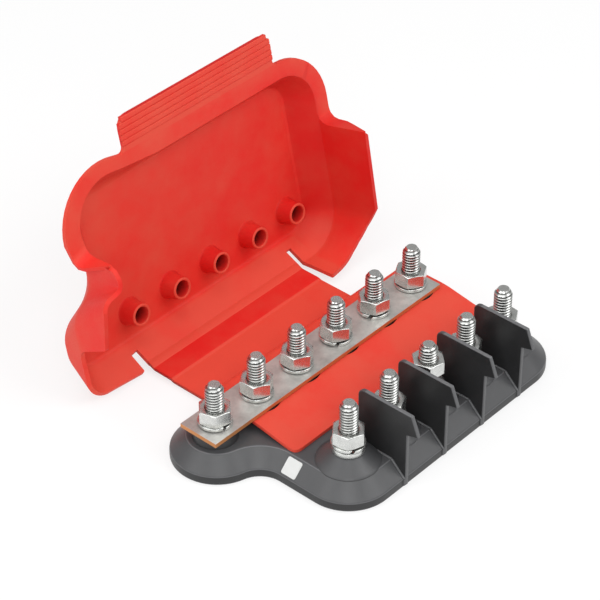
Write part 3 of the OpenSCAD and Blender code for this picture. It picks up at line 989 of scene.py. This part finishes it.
class FUSE_OT_bar(bpy.types.Operator):
    """Flat tinned bus bar with bare cut edges"""

    bl_idname = "fuse_holder.bar"
    bl_label = "Bus bar"

    def execute(self, context):
        finish = tinned_bar(context.scene.fuse_colours)
        rounding = bevel_modifier(context.scene.fuse_sizes.metal_round)
        piece(copied("busbar"), "bus_bar", finish, "holder", ["busbar"], [rounding])
        return {"FINISHED"}


class FUSE_OT_studs(bpy.types.Operator):
    """Threaded bolts, their heads held in the underside of the base"""

    bl_idname = "fuse_holder.studs"
    bl_label = "Studs"

    def execute(self, context):
        for row, count in (("bus", WAYS + 1), ("out", WAYS)):
            for i in range(1, count + 1):
                self.stud(context, row, i)
        return {"FINISHED"}

    def stud(self, context, row, i):
        sizes = context.scene.fuse_sizes
        depth = sizes.thread_depth / MM
        x, y, top = stud_place(f"{row}_bolt_{i}")
        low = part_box(f"{row}_nut_{i}")[0][2] / MM + 1
        bm = bmesh.new()
        self.thread(bm, x, y, low, top, sizes.thread_pitch / MM, depth)
        bmesh.ops.create_cone(
            bm, cap_ends=True, segments=32, radius1=SHANK_R, radius2=SHANK_R,
            depth=low + 0.5 - HEAD_LOW - HEAD_H,
            matrix=Matrix.Translation((x, y, (low + 0.5 + HEAD_LOW + HEAD_H) / 2)),
        )
        head = bmesh.ops.create_cone(
            bm, cap_ends=True, segments=6, radius1=HEX_R, radius2=HEX_R, depth=HEAD_H,
            matrix=Matrix.Translation((x, y, HEAD_LOW + HEAD_H / 2)) @ Matrix.Rotation(pi / 2, 4, "Z"),
        )["verts"]
        round_edges(bm, edges_at(head), HEAD_ROUND, 2)

        # Painted shade: the roots of the thread are darker, the deeper in the groove
        def shade(at):
            root = (self.reach(at.z, top) - hypot(at.x - x, at.y - y)) / depth
            return -clamped(root) * (low < at.z < top - 0.05)

        paint_light_and_shade(bm, shade)
        finish = zinc_plate(context.scene.fuse_colours)
        piece(bm, f"{row}_stud_{i}", finish, "holder", [f"{row}_bolt_{i}"])

    def reach(self, z, top):
        """Radius of the stud at a height, less in the taper of its tip."""
        return STUD_R - (STUD_R - STUD_TIP_R) * max(0.0, min(z, top) - (top - STUD_TAPER)) / STUD_TAPER

    def thread(self, bm, x, y, low, top, pitch, depth):
        """A screw thread from low to top that gets narrower and shallower in the taper of the tip."""
        turns = ceil((top - low) / pitch) + 3
        crest, root = STUD_R, STUD_R - depth
        start = low - 2 * pitch
        ridge = ((root, 0), (root, 0.1), (crest, 0.44), (crest, 0.6), (root, 0.94), (root, 1.0))
        verts, edges = chain(bm, [(x + r, y, start + part * pitch) for r, part in ridge])
        bmesh.ops.spin(
            bm, geom=verts + edges, cent=(x, y, 0), axis=UP, dvec=(0, 0, pitch / THREAD_STEPS),
            angle=2 * pi * turns, steps=THREAD_STEPS * turns, use_duplicate=False,
        )
        merge(bm)
        for v in bm.verts:
            out = hypot(v.co.x - x, v.co.y - y)
            kept = 1 - TIP_FADE * clamped((v.co.z - top + STUD_TAPER) / STUD_TAPER)
            scale = (self.reach(v.co.z, top) - kept * (crest - out)) / out
            v.co.x = x + (v.co.x - x) * scale
            v.co.y = y + (v.co.y - y) * scale
        cut(bm, bm.faces[:], (x, y, low), UP, keep_above=True)
        cut(bm, bm.faces[:], (x, y, top), (0, 0, -1), keep_above=True)
        loose = [v for v in bm.verts if not v.link_faces]
        bmesh.ops.delete(bm, geom=loose, context="VERTS")
        ends = [e for e in bm.edges if e.is_boundary]
        bmesh.ops.holes_fill(bm, edges=ends, sides=0)
        face_out(bm)
        for e in bm.edges:
            e.smooth = e.calc_face_angle(0) < radians(SMOOTH_TURN)


class FUSE_OT_nuts(bpy.types.Operator):
    """Hexagon nuts with chamfered corners"""

    bl_idname = "fuse_holder.nuts"
    bl_label = "Nuts"

    def execute(self, context):
        finish = zinc_plate(context.scene.fuse_colours)
        for row, turns in (("bus", BUS_NUT_TURNS), ("out", OUT_NUT_TURNS)):
            for i, turn in enumerate(turns, 1):
                bm = bmesh.new()
                self.nut(bm, radians(turn), context.scene.fuse_sizes.metal_round / MM)
                x, y, _ = stud_place(f"{row}_bolt_{i}")
                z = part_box(f"{row}_nut_{i}")[0][2] / MM
                piece(
                    bm, f"{row}_hex_nut_{i}", finish, "holder", [f"{row}_nut_{i}"],
                    place=Matrix.Translation((x, y, z)),
                )
        return {"FINISHED"}

    def nut(self, bm, turn, radius):
        verts = bmesh.ops.create_circle(
            bm, segments=6, radius=HEX_R, matrix=Matrix.Rotation(turn - pi / 2, 4, "Z")
        )["verts"]
        bmesh.ops.subdivide_edges(bm, edges=edges_at(verts), cuts=5)
        middle = bm.edges[:]
        for v in bm.verts:
            v.co.z = self.fall(v)
        high, upper = draw_out(bm, middle, (0, 0, NUT_H))
        for v in high:
            v.co.z = NUT_H - self.fall(v)
        rings = []
        for edges, face, way in ((middle, 0, 1), (upper, NUT_H, -1)):
            bore = (STUD_R - BORE_BITE, face + way * MOUTH_DEEP)
            for out, up in ((HEX_FLATS / 2 * FACE_END, face), (STUD_R + MOUTH_WIDE, face), bore):
                made, edges = draw_out(bm, edges, (0, 0, 0))
                for v in made:
                    scale = out / hypot(v.co.x, v.co.y)
                    v.co = (v.co.x * scale, v.co.y * scale, up)
            rings += edges
        bmesh.ops.bridge_loops(bm, edges=rings)
        face_out(bm)
        sharp = [e for e in sharp_edges(bm, 25) if hypot(*e.verts[0].co.xy) > STUD_R + 0.6]
        round_edges(bm, sharp, radius, 2)

    def fall(self, v):
        """How far the chamfer lies below the face of the nut, more towards the corners."""
        return max(0.0, hypot(v.co.x, v.co.y) - HEX_FLATS / 2 * CHAMFER_FROM) * tan(radians(CHAMFER_SLOPE))


class FUSE_OT_washers(bpy.types.Operator):
    """Split spring washers, and the collars on the output cones"""

    bl_idname = "fuse_holder.washers"
    bl_label = "Washers and collars"

    def execute(self, context):
        radius = context.scene.fuse_sizes.metal_round / MM
        finish = zinc_plate(context.scene.fuse_colours)
        for row, splits in (("bus", BUS_SPLITS), ("out", OUT_SPLITS)):
            for i, split in enumerate(splits, 1):
                x, y, _ = stud_place(f"{row}_bolt_{i}")
                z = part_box(f"{row}_washer_{i}")[0][2] / MM
                bm = bmesh.new()
                self.washer(bm, radians(split), radius)
                piece(
                    bm, f"{row}_spring_washer_{i}", finish, "holder", [f"{row}_washer_{i}"],
                    place=Matrix.Translation((x, y, z)),
                )
        top = CONE_Z + COLLAR_H
        collar = [(WASHER_BORE_R, CONE_Z), (COLLAR_R - 0.25, CONE_Z), (COLLAR_R, CONE_Z + 0.25)]
        collar += [(COLLAR_R, top - 0.35), (COLLAR_R - 0.35, top), (WASHER_BORE_R, top)]
        for i in range(1, WAYS + 1):
            x, y, _ = stud_place(f"out_bolt_{i}")
            bm = bmesh.new()
            spun(bm, collar, (x, y))
            face_out(bm)
            piece(bm, f"out_ring_{i}", finish, "holder", [f"out_collar_{i}"])
        return {"FINISHED"}

    def washer(self, bm, split, radius):
        """A ring cut at one place, its two ends a little apart in height."""
        gap = SPLIT_GAP / WASHER_R
        slant = SPLIT_SLANT / WASHER_R
        high = WASHER_H - SPLIT_STEP
        section = ((WASHER_BORE_R, 0), (WASHER_R, 0), (WASHER_R, high), (WASHER_BORE_R, high))
        verts, edges = chain(bm, [(r, 0, z) for r, z in section], True)
        for part, turn in ((verts, split + gap / 2), (verts[2:], slant)):
            bmesh.ops.rotate(bm, cent=(0, 0, 0), matrix=Matrix.Rotation(turn, 3, "Z"), verts=part)
        bmesh.ops.contextual_create(bm, geom=edges)
        last = bmesh.ops.spin(
            bm, geom=verts + edges, cent=(0, 0, 0), axis=UP, dvec=(0, 0, SPLIT_STEP / WASHER_STEPS),
            angle=2 * pi - gap, steps=WASHER_STEPS, use_duplicate=False,
        )["geom_last"]
        bmesh.ops.contextual_create(bm, geom=edges_of(last))
        merge(bm)
        face_out(bm)
        round_edges(bm, sharp_edges(bm, 50), 1.6 * radius, 3)
        # Painted shade on the inner part, under the nut
        paint_light_and_shade(bm, lambda at: WASHER_SHADE if hypot(at.x, at.y) < WASHER_R - WASHER_RIM else 0)


class FUSE_OT_cover(bpy.types.Operator):
    """Soft cover: roof, sloped band, brim, skirts, grip tab and hollow bosses"""

    bl_idname = "fuse_holder.cover"
    bl_label = "Cover"

    def execute(self, context):
        sizes = context.scene.fuse_sizes
        finish = red_moulding(context.scene.fuse_colours)
        bm = bmesh.new()
        bent_z = ROOF_Z - BENT_SHARE * (ROOF_Z - BRIM_Z)
        lines = ((ROOF_LINE, ROOF_Z), (BENT_LINE, bent_z), (BAND_LINE, BRIM_Z))
        strip(bm, [at_height(whole_line(line), z) for line, z in lines], True)
        brim = (brim_part(BAND_LINE), brim_part(BRIM_LINE, LEFT_SKEW))
        strip(bm, [at_height(part, BRIM_Z) for part in brim])
        self.skirts(bm)
        merge(bm)
        roof = [e for e in level_edges(bm, ROOF_Z) if e.is_boundary]
        bmesh.ops.contextual_create(bm, geom=roof)
        round_edges(bm, roof, sizes.roof_round / MM, 4)
        self.slits(bm)
        self.tab(bm)
        self.soft_corners(bm)
        face_up(bm)
        # Painted sheen and painted shade on the shell
        paint_light_and_shade(bm, self.sheen)
        piece(
            bm, "cover_shell", finish, "lid", ["cover"],
            [thickened(COVER_T), bevel_modifier(sizes.cover_round, 3, 40)], OPEN,
        )
        self.bosses(finish)
        self.ridges(finish)
        return {"FINISHED"}

    def skirts(self, bm):
        """The side walls, row by row to their free edges, and the webs that close the brim at their ends.

        The first rows follow a quarter circle, so that the brim turns smoothly into each web.
        """
        turns = [(BEND_R * (1 - cos(radians(a))), BEND_R * (1 - sin(radians(a))), 0) for a in (0, 30, 60, 90)]
        rows = turns + [(BEND_R, 0, share) for share in (0.25, 0.5, 0.75, 1)]
        left, right = [], []
        for drop, bend, share in rows:
            level = BRIM_Z - drop
            low = LEFT_EDGE[2][1]
            line = between(BAND_LINE, EDGE_LINE, (drop + share * (level - low)) / (BRIM_Z - low))
            notch = NOTCH_FRONT[0] + bend + share * (NOTCH_FRONT[1] - NOTCH_FRONT[0])
            wall = [(line.side, notch), *input_side(line), *left_run(line, LEFT_STEP - bend)]
            left.append([(x, y, level + share * (level_at(LEFT_EDGE, y) - level)) for x, y in wall])
            wall = [(LAST_X + line.out, RIGHT_STEP - bend), *right_part(line)]
            right.append([(x, y, level + share * (right_edge(x, y) - level)) for x, y in wall])
        strip(bm, left)
        strip(bm, right)
        self.web(bm, [row[-1] for row in left], COVER_LEFT - BRIM_R, WEB_LEFT_H, -WEB_END, LEFT_SKEW)
        self.web(bm, [row[0] for row in right], LAST_X + BRIM_R, WEB_RIGHT_H, WEB_END, 0)

    def sheen(self, at):
        """Painted light on the shell: a painted sheen on the tab, the brim, the back, the skirts and the
        roof, fading to the right; painted shade on its tip and the right wall.
        """
        if at.y < COVER_FRONT - BRIM_R - TAB_L + 0.5:
            return TAB_TIP_SHADE
        if at.y < COVER_FRONT - BAND_LINE.out - 1:
            return TAB_SHEEN if at.y < COVER_FRONT - BRIM_R - 0.3 else BRIM_SHEEN
        if at.x > LAST_X + BAND_LINE.out + 1 and at.z > BRIM_Z - 0.3:
            return BRIM_SHEEN
        if at.x > LAST_X + 0.3 and at.z < ROOF_Z - 0.5:
            back = clamped((at.y - COVER_BACK - BACK_FADE_FROM) / BACK_FADE)
            return WALL_SHADE + back * (BACK_SHEEN if at.z > BRIM_Z - 1 else BRIM_SHEEN)
        if at.y > COVER_BACK + ROOF_LINE.out + 1:
            return BACK_SHEEN
        if at.z < BRIM_Z - 1:
            return SKIRT_SHEEN
        return ROOF_SHEEN * clamped((LAST_X - at.x) / ROOF_FADE)

    def web(self, bm, edge, outer, upright, end, skew):
        """A web from the front edge of a skirt outwards, as wide as the brim and tapering to its tip."""
        tip = edge[-1]
        start = BRIM_Z - upright
        far = []
        for x, y, z in edge:
            taper = max(0, (start - z) / (start - tip[2]))
            far.append((outer + taper * (tip[0] + end - outer), y + skew * (1 - taper), z))
        strip(bm, [edge, far])

    def slits(self, bm):
        """The two cuts beside the strap, up to the roof band."""
        for x0, x1 in (SLIT_LEFT, SLIT_RIGHT):
            cut(bm, self.back_faces(bm, x0, x1), (0, 0, SLIT_Z), UP)
            low = [f for f in self.back_faces(bm, x0, x1) if f.calc_center_median().z < SLIT_Z]
            bmesh.ops.delete(bm, geom=low, context="FACES")

    def back_faces(self, bm, x0, x1):
        """Faces behind the roof, between two places along X."""
        middles = [(f, f.calc_center_median()) for f in bm.faces]
        return [f for f, at in middles if x0 < at.x < x1 and at.y > COVER_BACK]

    def tab(self, bm):
        """The flat of the grip tab, drawn out of the front edge of the brim with filleted roots."""
        edge_y = COVER_FRONT - BRIM_R
        rows = []
        for a in (0, 18, 36, 54, 72, 90):
            spread = TAB_FILLET * (1 - sin(radians(a)))
            y = edge_y - TAB_FILLET * (1 - cos(radians(a)))
            rows.append(at_height([(TAB_X[0] - spread, y), (NARROW_X, y), (TAB_X[1] + spread, y)], BRIM_Z))
        rows.append([(x, edge_y - TAB_L, BRIM_Z) for x in (TAB_X[0], NARROW_X, TAB_X[1])])
        strip(bm, rows)
        merge(bm)
        tips = [v for v in bm.verts if abs(v.co.y - edge_y + TAB_L) < 1e-3 and len(v.link_edges) == 2]
        round_corners(bm, tips, TAB_CORNER)

    def soft_corners(self, bm):
        """Round the free corners of the skirts and of the band beside the strap."""
        free = [v for v in bm.verts if len(v.link_edges) == 2 and v.co.y > LEFT_STEP]
        free = [v for v in free if not (v.co.y > COVER_BACK and STRAP_X[0] - 0.1 < v.co.x < STRAP_X[1] + 0.1)]
        round_corners(bm, free, SOFT_CORNER, 5)

    def bosses(self, finish):
        """Hollow tapered bosses under the roof, one over each bus stud of a way."""
        bm = bmesh.new()
        tip = ROOF_Z - PEG_H
        peg = [(PEG_FOOT_R + 0.9, ROOF_Z + 0.4), (PEG_FOOT_R + 0.6, ROOF_Z - 0.05)]
        peg += [(PEG_FOOT_R, ROOF_Z - 0.7), (PEG_TIP_R + 0.05, tip + 0.5), (PEG_TIP_R - 0.3, tip)]
        peg += [(PEG_BORE_R + 0.35, tip), (PEG_BORE_R, tip + 0.4), (PEG_BORE_R - 0.2, ROOF_Z - 0.2)]
        peg += [(0.4, ROOF_Z - 0.2), (0.4, ROOF_Z + 0.4)]
        for i in range(WAYS):
            spun(bm, peg, (FIRST_X + PITCH * i, BUS_Y), steps=40)
        face_out(bm)
        # Painted shade in the bores and on the sides, painted highlight on the rims
        paint_light_and_shade(bm, self.bore)
        piece(bm, "cover_bosses", finish, "lid", [], place=OPEN)

    def bore(self, at):
        """Painted shade: the bores of the bosses are darker the deeper they go and their sides a little
        darker; a painted highlight makes their rims lighter.
        """
        out = min(hypot(at.x - FIRST_X - PITCH * i, at.y - BUS_Y) for i in range(WAYS))
        depth = at.z - ROOF_Z + PEG_H
        if out < PEG_BORE_R + 0.05:
            return -clamped((depth - 0.5) / 4)
        return BOSS_RIM_HIGHLIGHT if depth < 0.2 else BOSS_SHADE

    def ridges(self, finish):
        """Saw-toothed ridges across the grip tab, their ends proud of its sides."""
        bm = bmesh.new()
        tip = COVER_FRONT - BRIM_R - TAB_L
        half = RIDGE_PITCH / 2 - 0.05
        tooth = [(-half, RIDGE_SUNK), (-half, -0.05), (0.2 - half, -RIDGE_RISE), (half - 0.6, -RIDGE_RISE)]
        tooth += [(half, -0.05), (half, RIDGE_SUNK)]
        for i in range(RIDGES):
            y = tip + (i + 0.5) * RIDGE_PITCH
            past = max(0.0, TAB_CORNER - (y - tip))
            inset = TAB_CORNER - sqrt(max(0.0, TAB_CORNER**2 - past**2)) - RIDGE_ENDS
            shape = [(TAB_X[0] + inset, y + dy, BRIM_Z + dz) for dy, dz in tooth]
            edges = plate(bm, shape, (TAB_X[1] - TAB_X[0] - 2 * inset, 0, 0))
            round_edges(bm, edges, RIDGE_ROUND, 2)
        # Painted highlight on the crests of the ridges, painted shade on their sides and grooves
        crest, side = RIDGE_HIGHLIGHT_AND_SHADE
        paint_light_and_shade(bm, lambda at: crest if at.z < BRIM_Z - RIDGE_RISE / 2 else side)
        piece(bm, "grip_ridges", finish, "lid", [], place=OPEN)


class FUSE_OT_strap(bpy.types.Operator):
    """Strap that runs from the tongue up into the opened cover, and the tongue that holds it under the bar"""

    bl_idname = "fuse_holder.strap"
    bl_label = "Strap and tongue"

    def execute(self, context):
        finish = red_moulding(context.scene.fuse_colours)
        self.tongue(finish)
        self.strap(finish)
        return {"FINISHED"}

    def tongue(self, finish):
        """A sheet with a hole round each boss: it lies on the deck, rises under the bar and bends down."""
        front = TONGUE_LINE[0][0]
        line = softened([*TONGUE_LINE, STRAP_TOP], TONGUE_BEND)
        lengths = [0]
        for a, b in zip(line, line[1:]):
            lengths.append(lengths[-1] + (Vector(b) - Vector(a)).length)
        bm = bmesh.new()
        left, right = TONGUE_X
        corners = arc((left + TONGUE_CORNER, front + TONGUE_CORNER), TONGUE_CORNER, 180, 90, 6)
        corners += arc((right - TONGUE_CORNER, front + TONGUE_CORNER), TONGUE_CORNER, 270, 90, 6)
        back = front + lengths[-1]
        shoulder = [(right, TONGUE_BACK), (STRAP_X[1], TONGUE_BACK), (STRAP_X[1], back)]
        shoulder += [(STRAP_X[0], back), (STRAP_X[0], TONGUE_BACK), (left, TONGUE_BACK)]
        edges = chain(bm, at_height(corners + shoulder, 0), True)[1]
        for i in range(WAYS):
            at = Matrix.Translation((FIRST_X + PITCH * i, BUS_Y, 0))
            hole = bmesh.ops.create_circle(bm, segments=48, radius=TONGUE_HOLE_R, matrix=at)["verts"]
            edges += edges_at(hole)
        bmesh.ops.triangle_fill(bm, use_beauty=True, edges=edges)
        for length in lengths[1:-1]:
            cut(bm, bm.faces[:], (0, front + length, 0), (0, 1, 0))
        for v in bm.verts:
            run = v.co.y - front
            k = max(0, min(len(lengths) - 2, sum(1 for length in lengths if length < run) - 1))
            share = (run - lengths[k]) / (lengths[k + 1] - lengths[k])
            v.co.y, v.co.z = Vector(line[k]).lerp(Vector(line[k + 1]), share)
        face_up(bm)
        # Painted sheen all over the tongue
        paint_light_and_shade(bm, lambda at: TONGUE_SHEEN)
        piece(
            bm, "tongue_sheet", finish, "holder", ["tongue"],
            [thickened(SHEET_T), bevel_modifier(SHEET_ROUND * MM, 2, 50)],
        )

    def strap(self, finish):
        """A sheet that comes down from the tongue, lies on the surface and rises into the cover."""
        joint = OPEN @ Vector((0, COVER_BACK + BAND_LINE.out, BRIM_Z))
        rise = (OPEN @ Vector((0, COVER_BACK + ROOF_LINE.out, ROOF_Z)) - joint).normalized()
        under = joint + Vector((0, -rise.z, rise.y)) * (STRAP_PROUD - SHEET_T)
        crease, end = under - rise * STRAP_CREASE, under + rise * STRAP_LAP
        floor = STRAP_FLOOR[1]
        line = softened([
            STRAP_TOP, STRAP_FLOOR, (STRAP_KNEE[0], floor), (STRAP_KNEE[1], floor + KNEE_RISE),
            (crease.y, crease.z), (end.y, end.z),
        ], STRAP_BEND)
        bm = bmesh.new()
        strip(bm, [[(x, y, z) for y, z in line] for x in STRAP_X])
        face_up(bm)
        # Painted sheen on the flat parts of the strap, painted shade on its slope from the knee to the crease
        flat, slope = STRAP_SHEEN_AND_SHADE
        paint_light_and_shade(bm, lambda at: slope if STRAP_KNEE[1] < at.y < crease.y else flat)
        sheet = [thickened(SHEET_T)]
        strap = piece(bm, "hinge_sheet", finish, None, ["hinge_strap"], sheet)
        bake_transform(strap)


class FUSE_OT_label(bpy.types.Operator):
    """Blank label on the slope at the input side"""

    bl_idname = "fuse_holder.label"
    bl_label = "Label"

    def execute(self, context):
        bm = copied("label")
        round_edges(bm, [e for e in bm.edges if e.calc_length() < 0.5], LABEL_CORNER, 4)
        finish = blank_paper(context.scene.fuse_colours)
        piece(bm, "blank_label", finish, "holder", ["label"], [bevel_modifier(LABEL_ROUND * MM)])
        return {"FINISHED"}


class FUSE_OT_stage(bpy.types.Operator):
    """Pale floor, soft studio light and the camera"""

    bl_idname = "fuse_holder.stage"
    bl_label = "Stage"

    def execute(self, context):
        self.floor()
        for name, at, size, power in LAMPS:
            self.lamp(name, at, size, power)
        self.world()
        self.camera()
        bpy.context.scene.view_settings.view_transform = "Standard"
        return {"FINISHED"}

    def floor(self):
        bm = bmesh.new()
        low = Matrix.Translation((0, 0, FLOOR_Z))
        bmesh.ops.create_grid(bm, x_segments=4, y_segments=4, size=FLOOR_SIZE, matrix=low)
        mesh = mesh_from(bm, "floor")
        floor = linked("floor", mesh)
        material = bpy.data.materials.new("Pale floor")
        material.use_nodes = True
        tree = material.node_tree
        tree.nodes.remove(tree.nodes["Principled BSDF"])
        path = add(tree, "ShaderNodeLightPath").outputs
        seen = maths(tree, "MAXIMUM", path["Is Camera Ray"], path["Is Glossy Ray"])
        seen = maths(tree, "MAXIMUM", seen, path["Is Transmission Ray"])
        share = maths(tree, "MULTIPLY", seen, FLOOR_GLOW)
        matte = add(tree, "ShaderNodeBsdfDiffuse", [("Color", FLOOR_COLOUR)])
        glow = add(tree, "ShaderNodeEmission", [("Color", WHITE), ("Strength", 1.0)])
        mix = add(tree, "ShaderNodeMixShader", [(0, share), (1, matte.outputs[0]), (2, glow.outputs[0])])
        tree.links.new(mix.outputs[0], tree.nodes["Material Output"].inputs["Surface"])
        mesh.materials.append(material)

    def lamp(self, name, at, size, power):
        light = bpy.data.lights.new(name, "AREA")
        light.size = size
        light.energy = power
        lamp = linked(name, light)
        lamp.location = at
        lamp.rotation_euler = (LAMP_AIM - Vector(at)).to_track_quat("-Z", "Y").to_euler()

    def world(self):
        world = bpy.data.worlds.new("Studio")
        bpy.context.scene.world = world
        world.use_nodes = True
        tree = world.node_tree
        path = add(tree, "ShaderNodeLightPath")
        fill = tree.nodes["Background"]
        fill.inputs["Color"].default_value = WHITE
        fill.inputs["Strength"].default_value = WORLD_FILL
        white = add(tree, "ShaderNodeBackground", [("Color", WHITE), ("Strength", 1.0)])
        mix = add(
            tree, "ShaderNodeMixShader",
            [(0, path.outputs["Is Camera Ray"]), (1, fill.outputs[0]), (2, white.outputs[0])],
        )
        tree.links.new(mix.outputs[0], tree.nodes["World Output"].inputs["Surface"])

    def camera(self):
        azimuth, elevation = radians(CAMERA_AZIMUTH), radians(CAMERA_ELEVATION)
        ahead = Vector((cos(elevation) * cos(azimuth), cos(elevation) * sin(azimuth), -sin(elevation)))
        right = ahead.cross(Vector(UP)).normalized()
        up = right.cross(ahead)
        turn = Matrix((right, up, -ahead)).transposed() @ Matrix.Rotation(radians(-CAMERA_ROLL), 3, "Z")
        data = bpy.data.cameras.new("Camera")
        data.sensor_width = SENSOR_WIDTH
        data.lens = CAMERA_LENS
        data.clip_start = CLIP_START
        camera = linked("Camera", data)
        camera.matrix_world = Matrix.Translation(CAMERA_AT) @ turn.to_4x4()
        bpy.context.scene.camera = camera


PIECES = (
    FUSE_OT_base, FUSE_OT_bar, FUSE_OT_studs, FUSE_OT_nuts, FUSE_OT_washers, FUSE_OT_cover, FUSE_OT_strap,
    FUSE_OT_label, FUSE_OT_stage,
)


class FUSE_PT_panel(bpy.types.Panel):
    """Buttons for the pieces, with their sizes and colours"""

    bl_idname = "FUSE_PT_panel"
    bl_label = "Fuse holder"
    bl_space_type = "VIEW_3D"
    bl_region_type = "UI"
    bl_category = "Fuse holder"

    def draw(self, context):
        for operator in PIECES:
            self.layout.operator(operator.bl_idname)
        for settings in (context.scene.fuse_sizes, context.scene.fuse_colours):
            column = self.layout.column()
            for key in settings.__annotations__:
                column.prop(settings, key)


CLASSES = (HolderSizes, HolderColours, *PIECES, FUSE_PT_panel)


def register():
    for cls in CLASSES:
        bpy.utils.register_class(cls)
    bpy.types.Scene.fuse_sizes = PointerProperty(type=HolderSizes)
    bpy.types.Scene.fuse_colours = PointerProperty(type=HolderColours)


def unregister():
    del bpy.types.Scene.fuse_colours
    del bpy.types.Scene.fuse_sizes
    for cls in reversed(CLASSES):
        bpy.utils.unregister_class(cls)


def main():
    register()
    for operator in ("base", "bar", "studs", "nuts", "washers", "cover", "strap", "label", "stage"):
        getattr(bpy.ops.fuse_holder, operator)()
    bpy.context.view_layer.update()


if __name__ == "__main__":
    main()
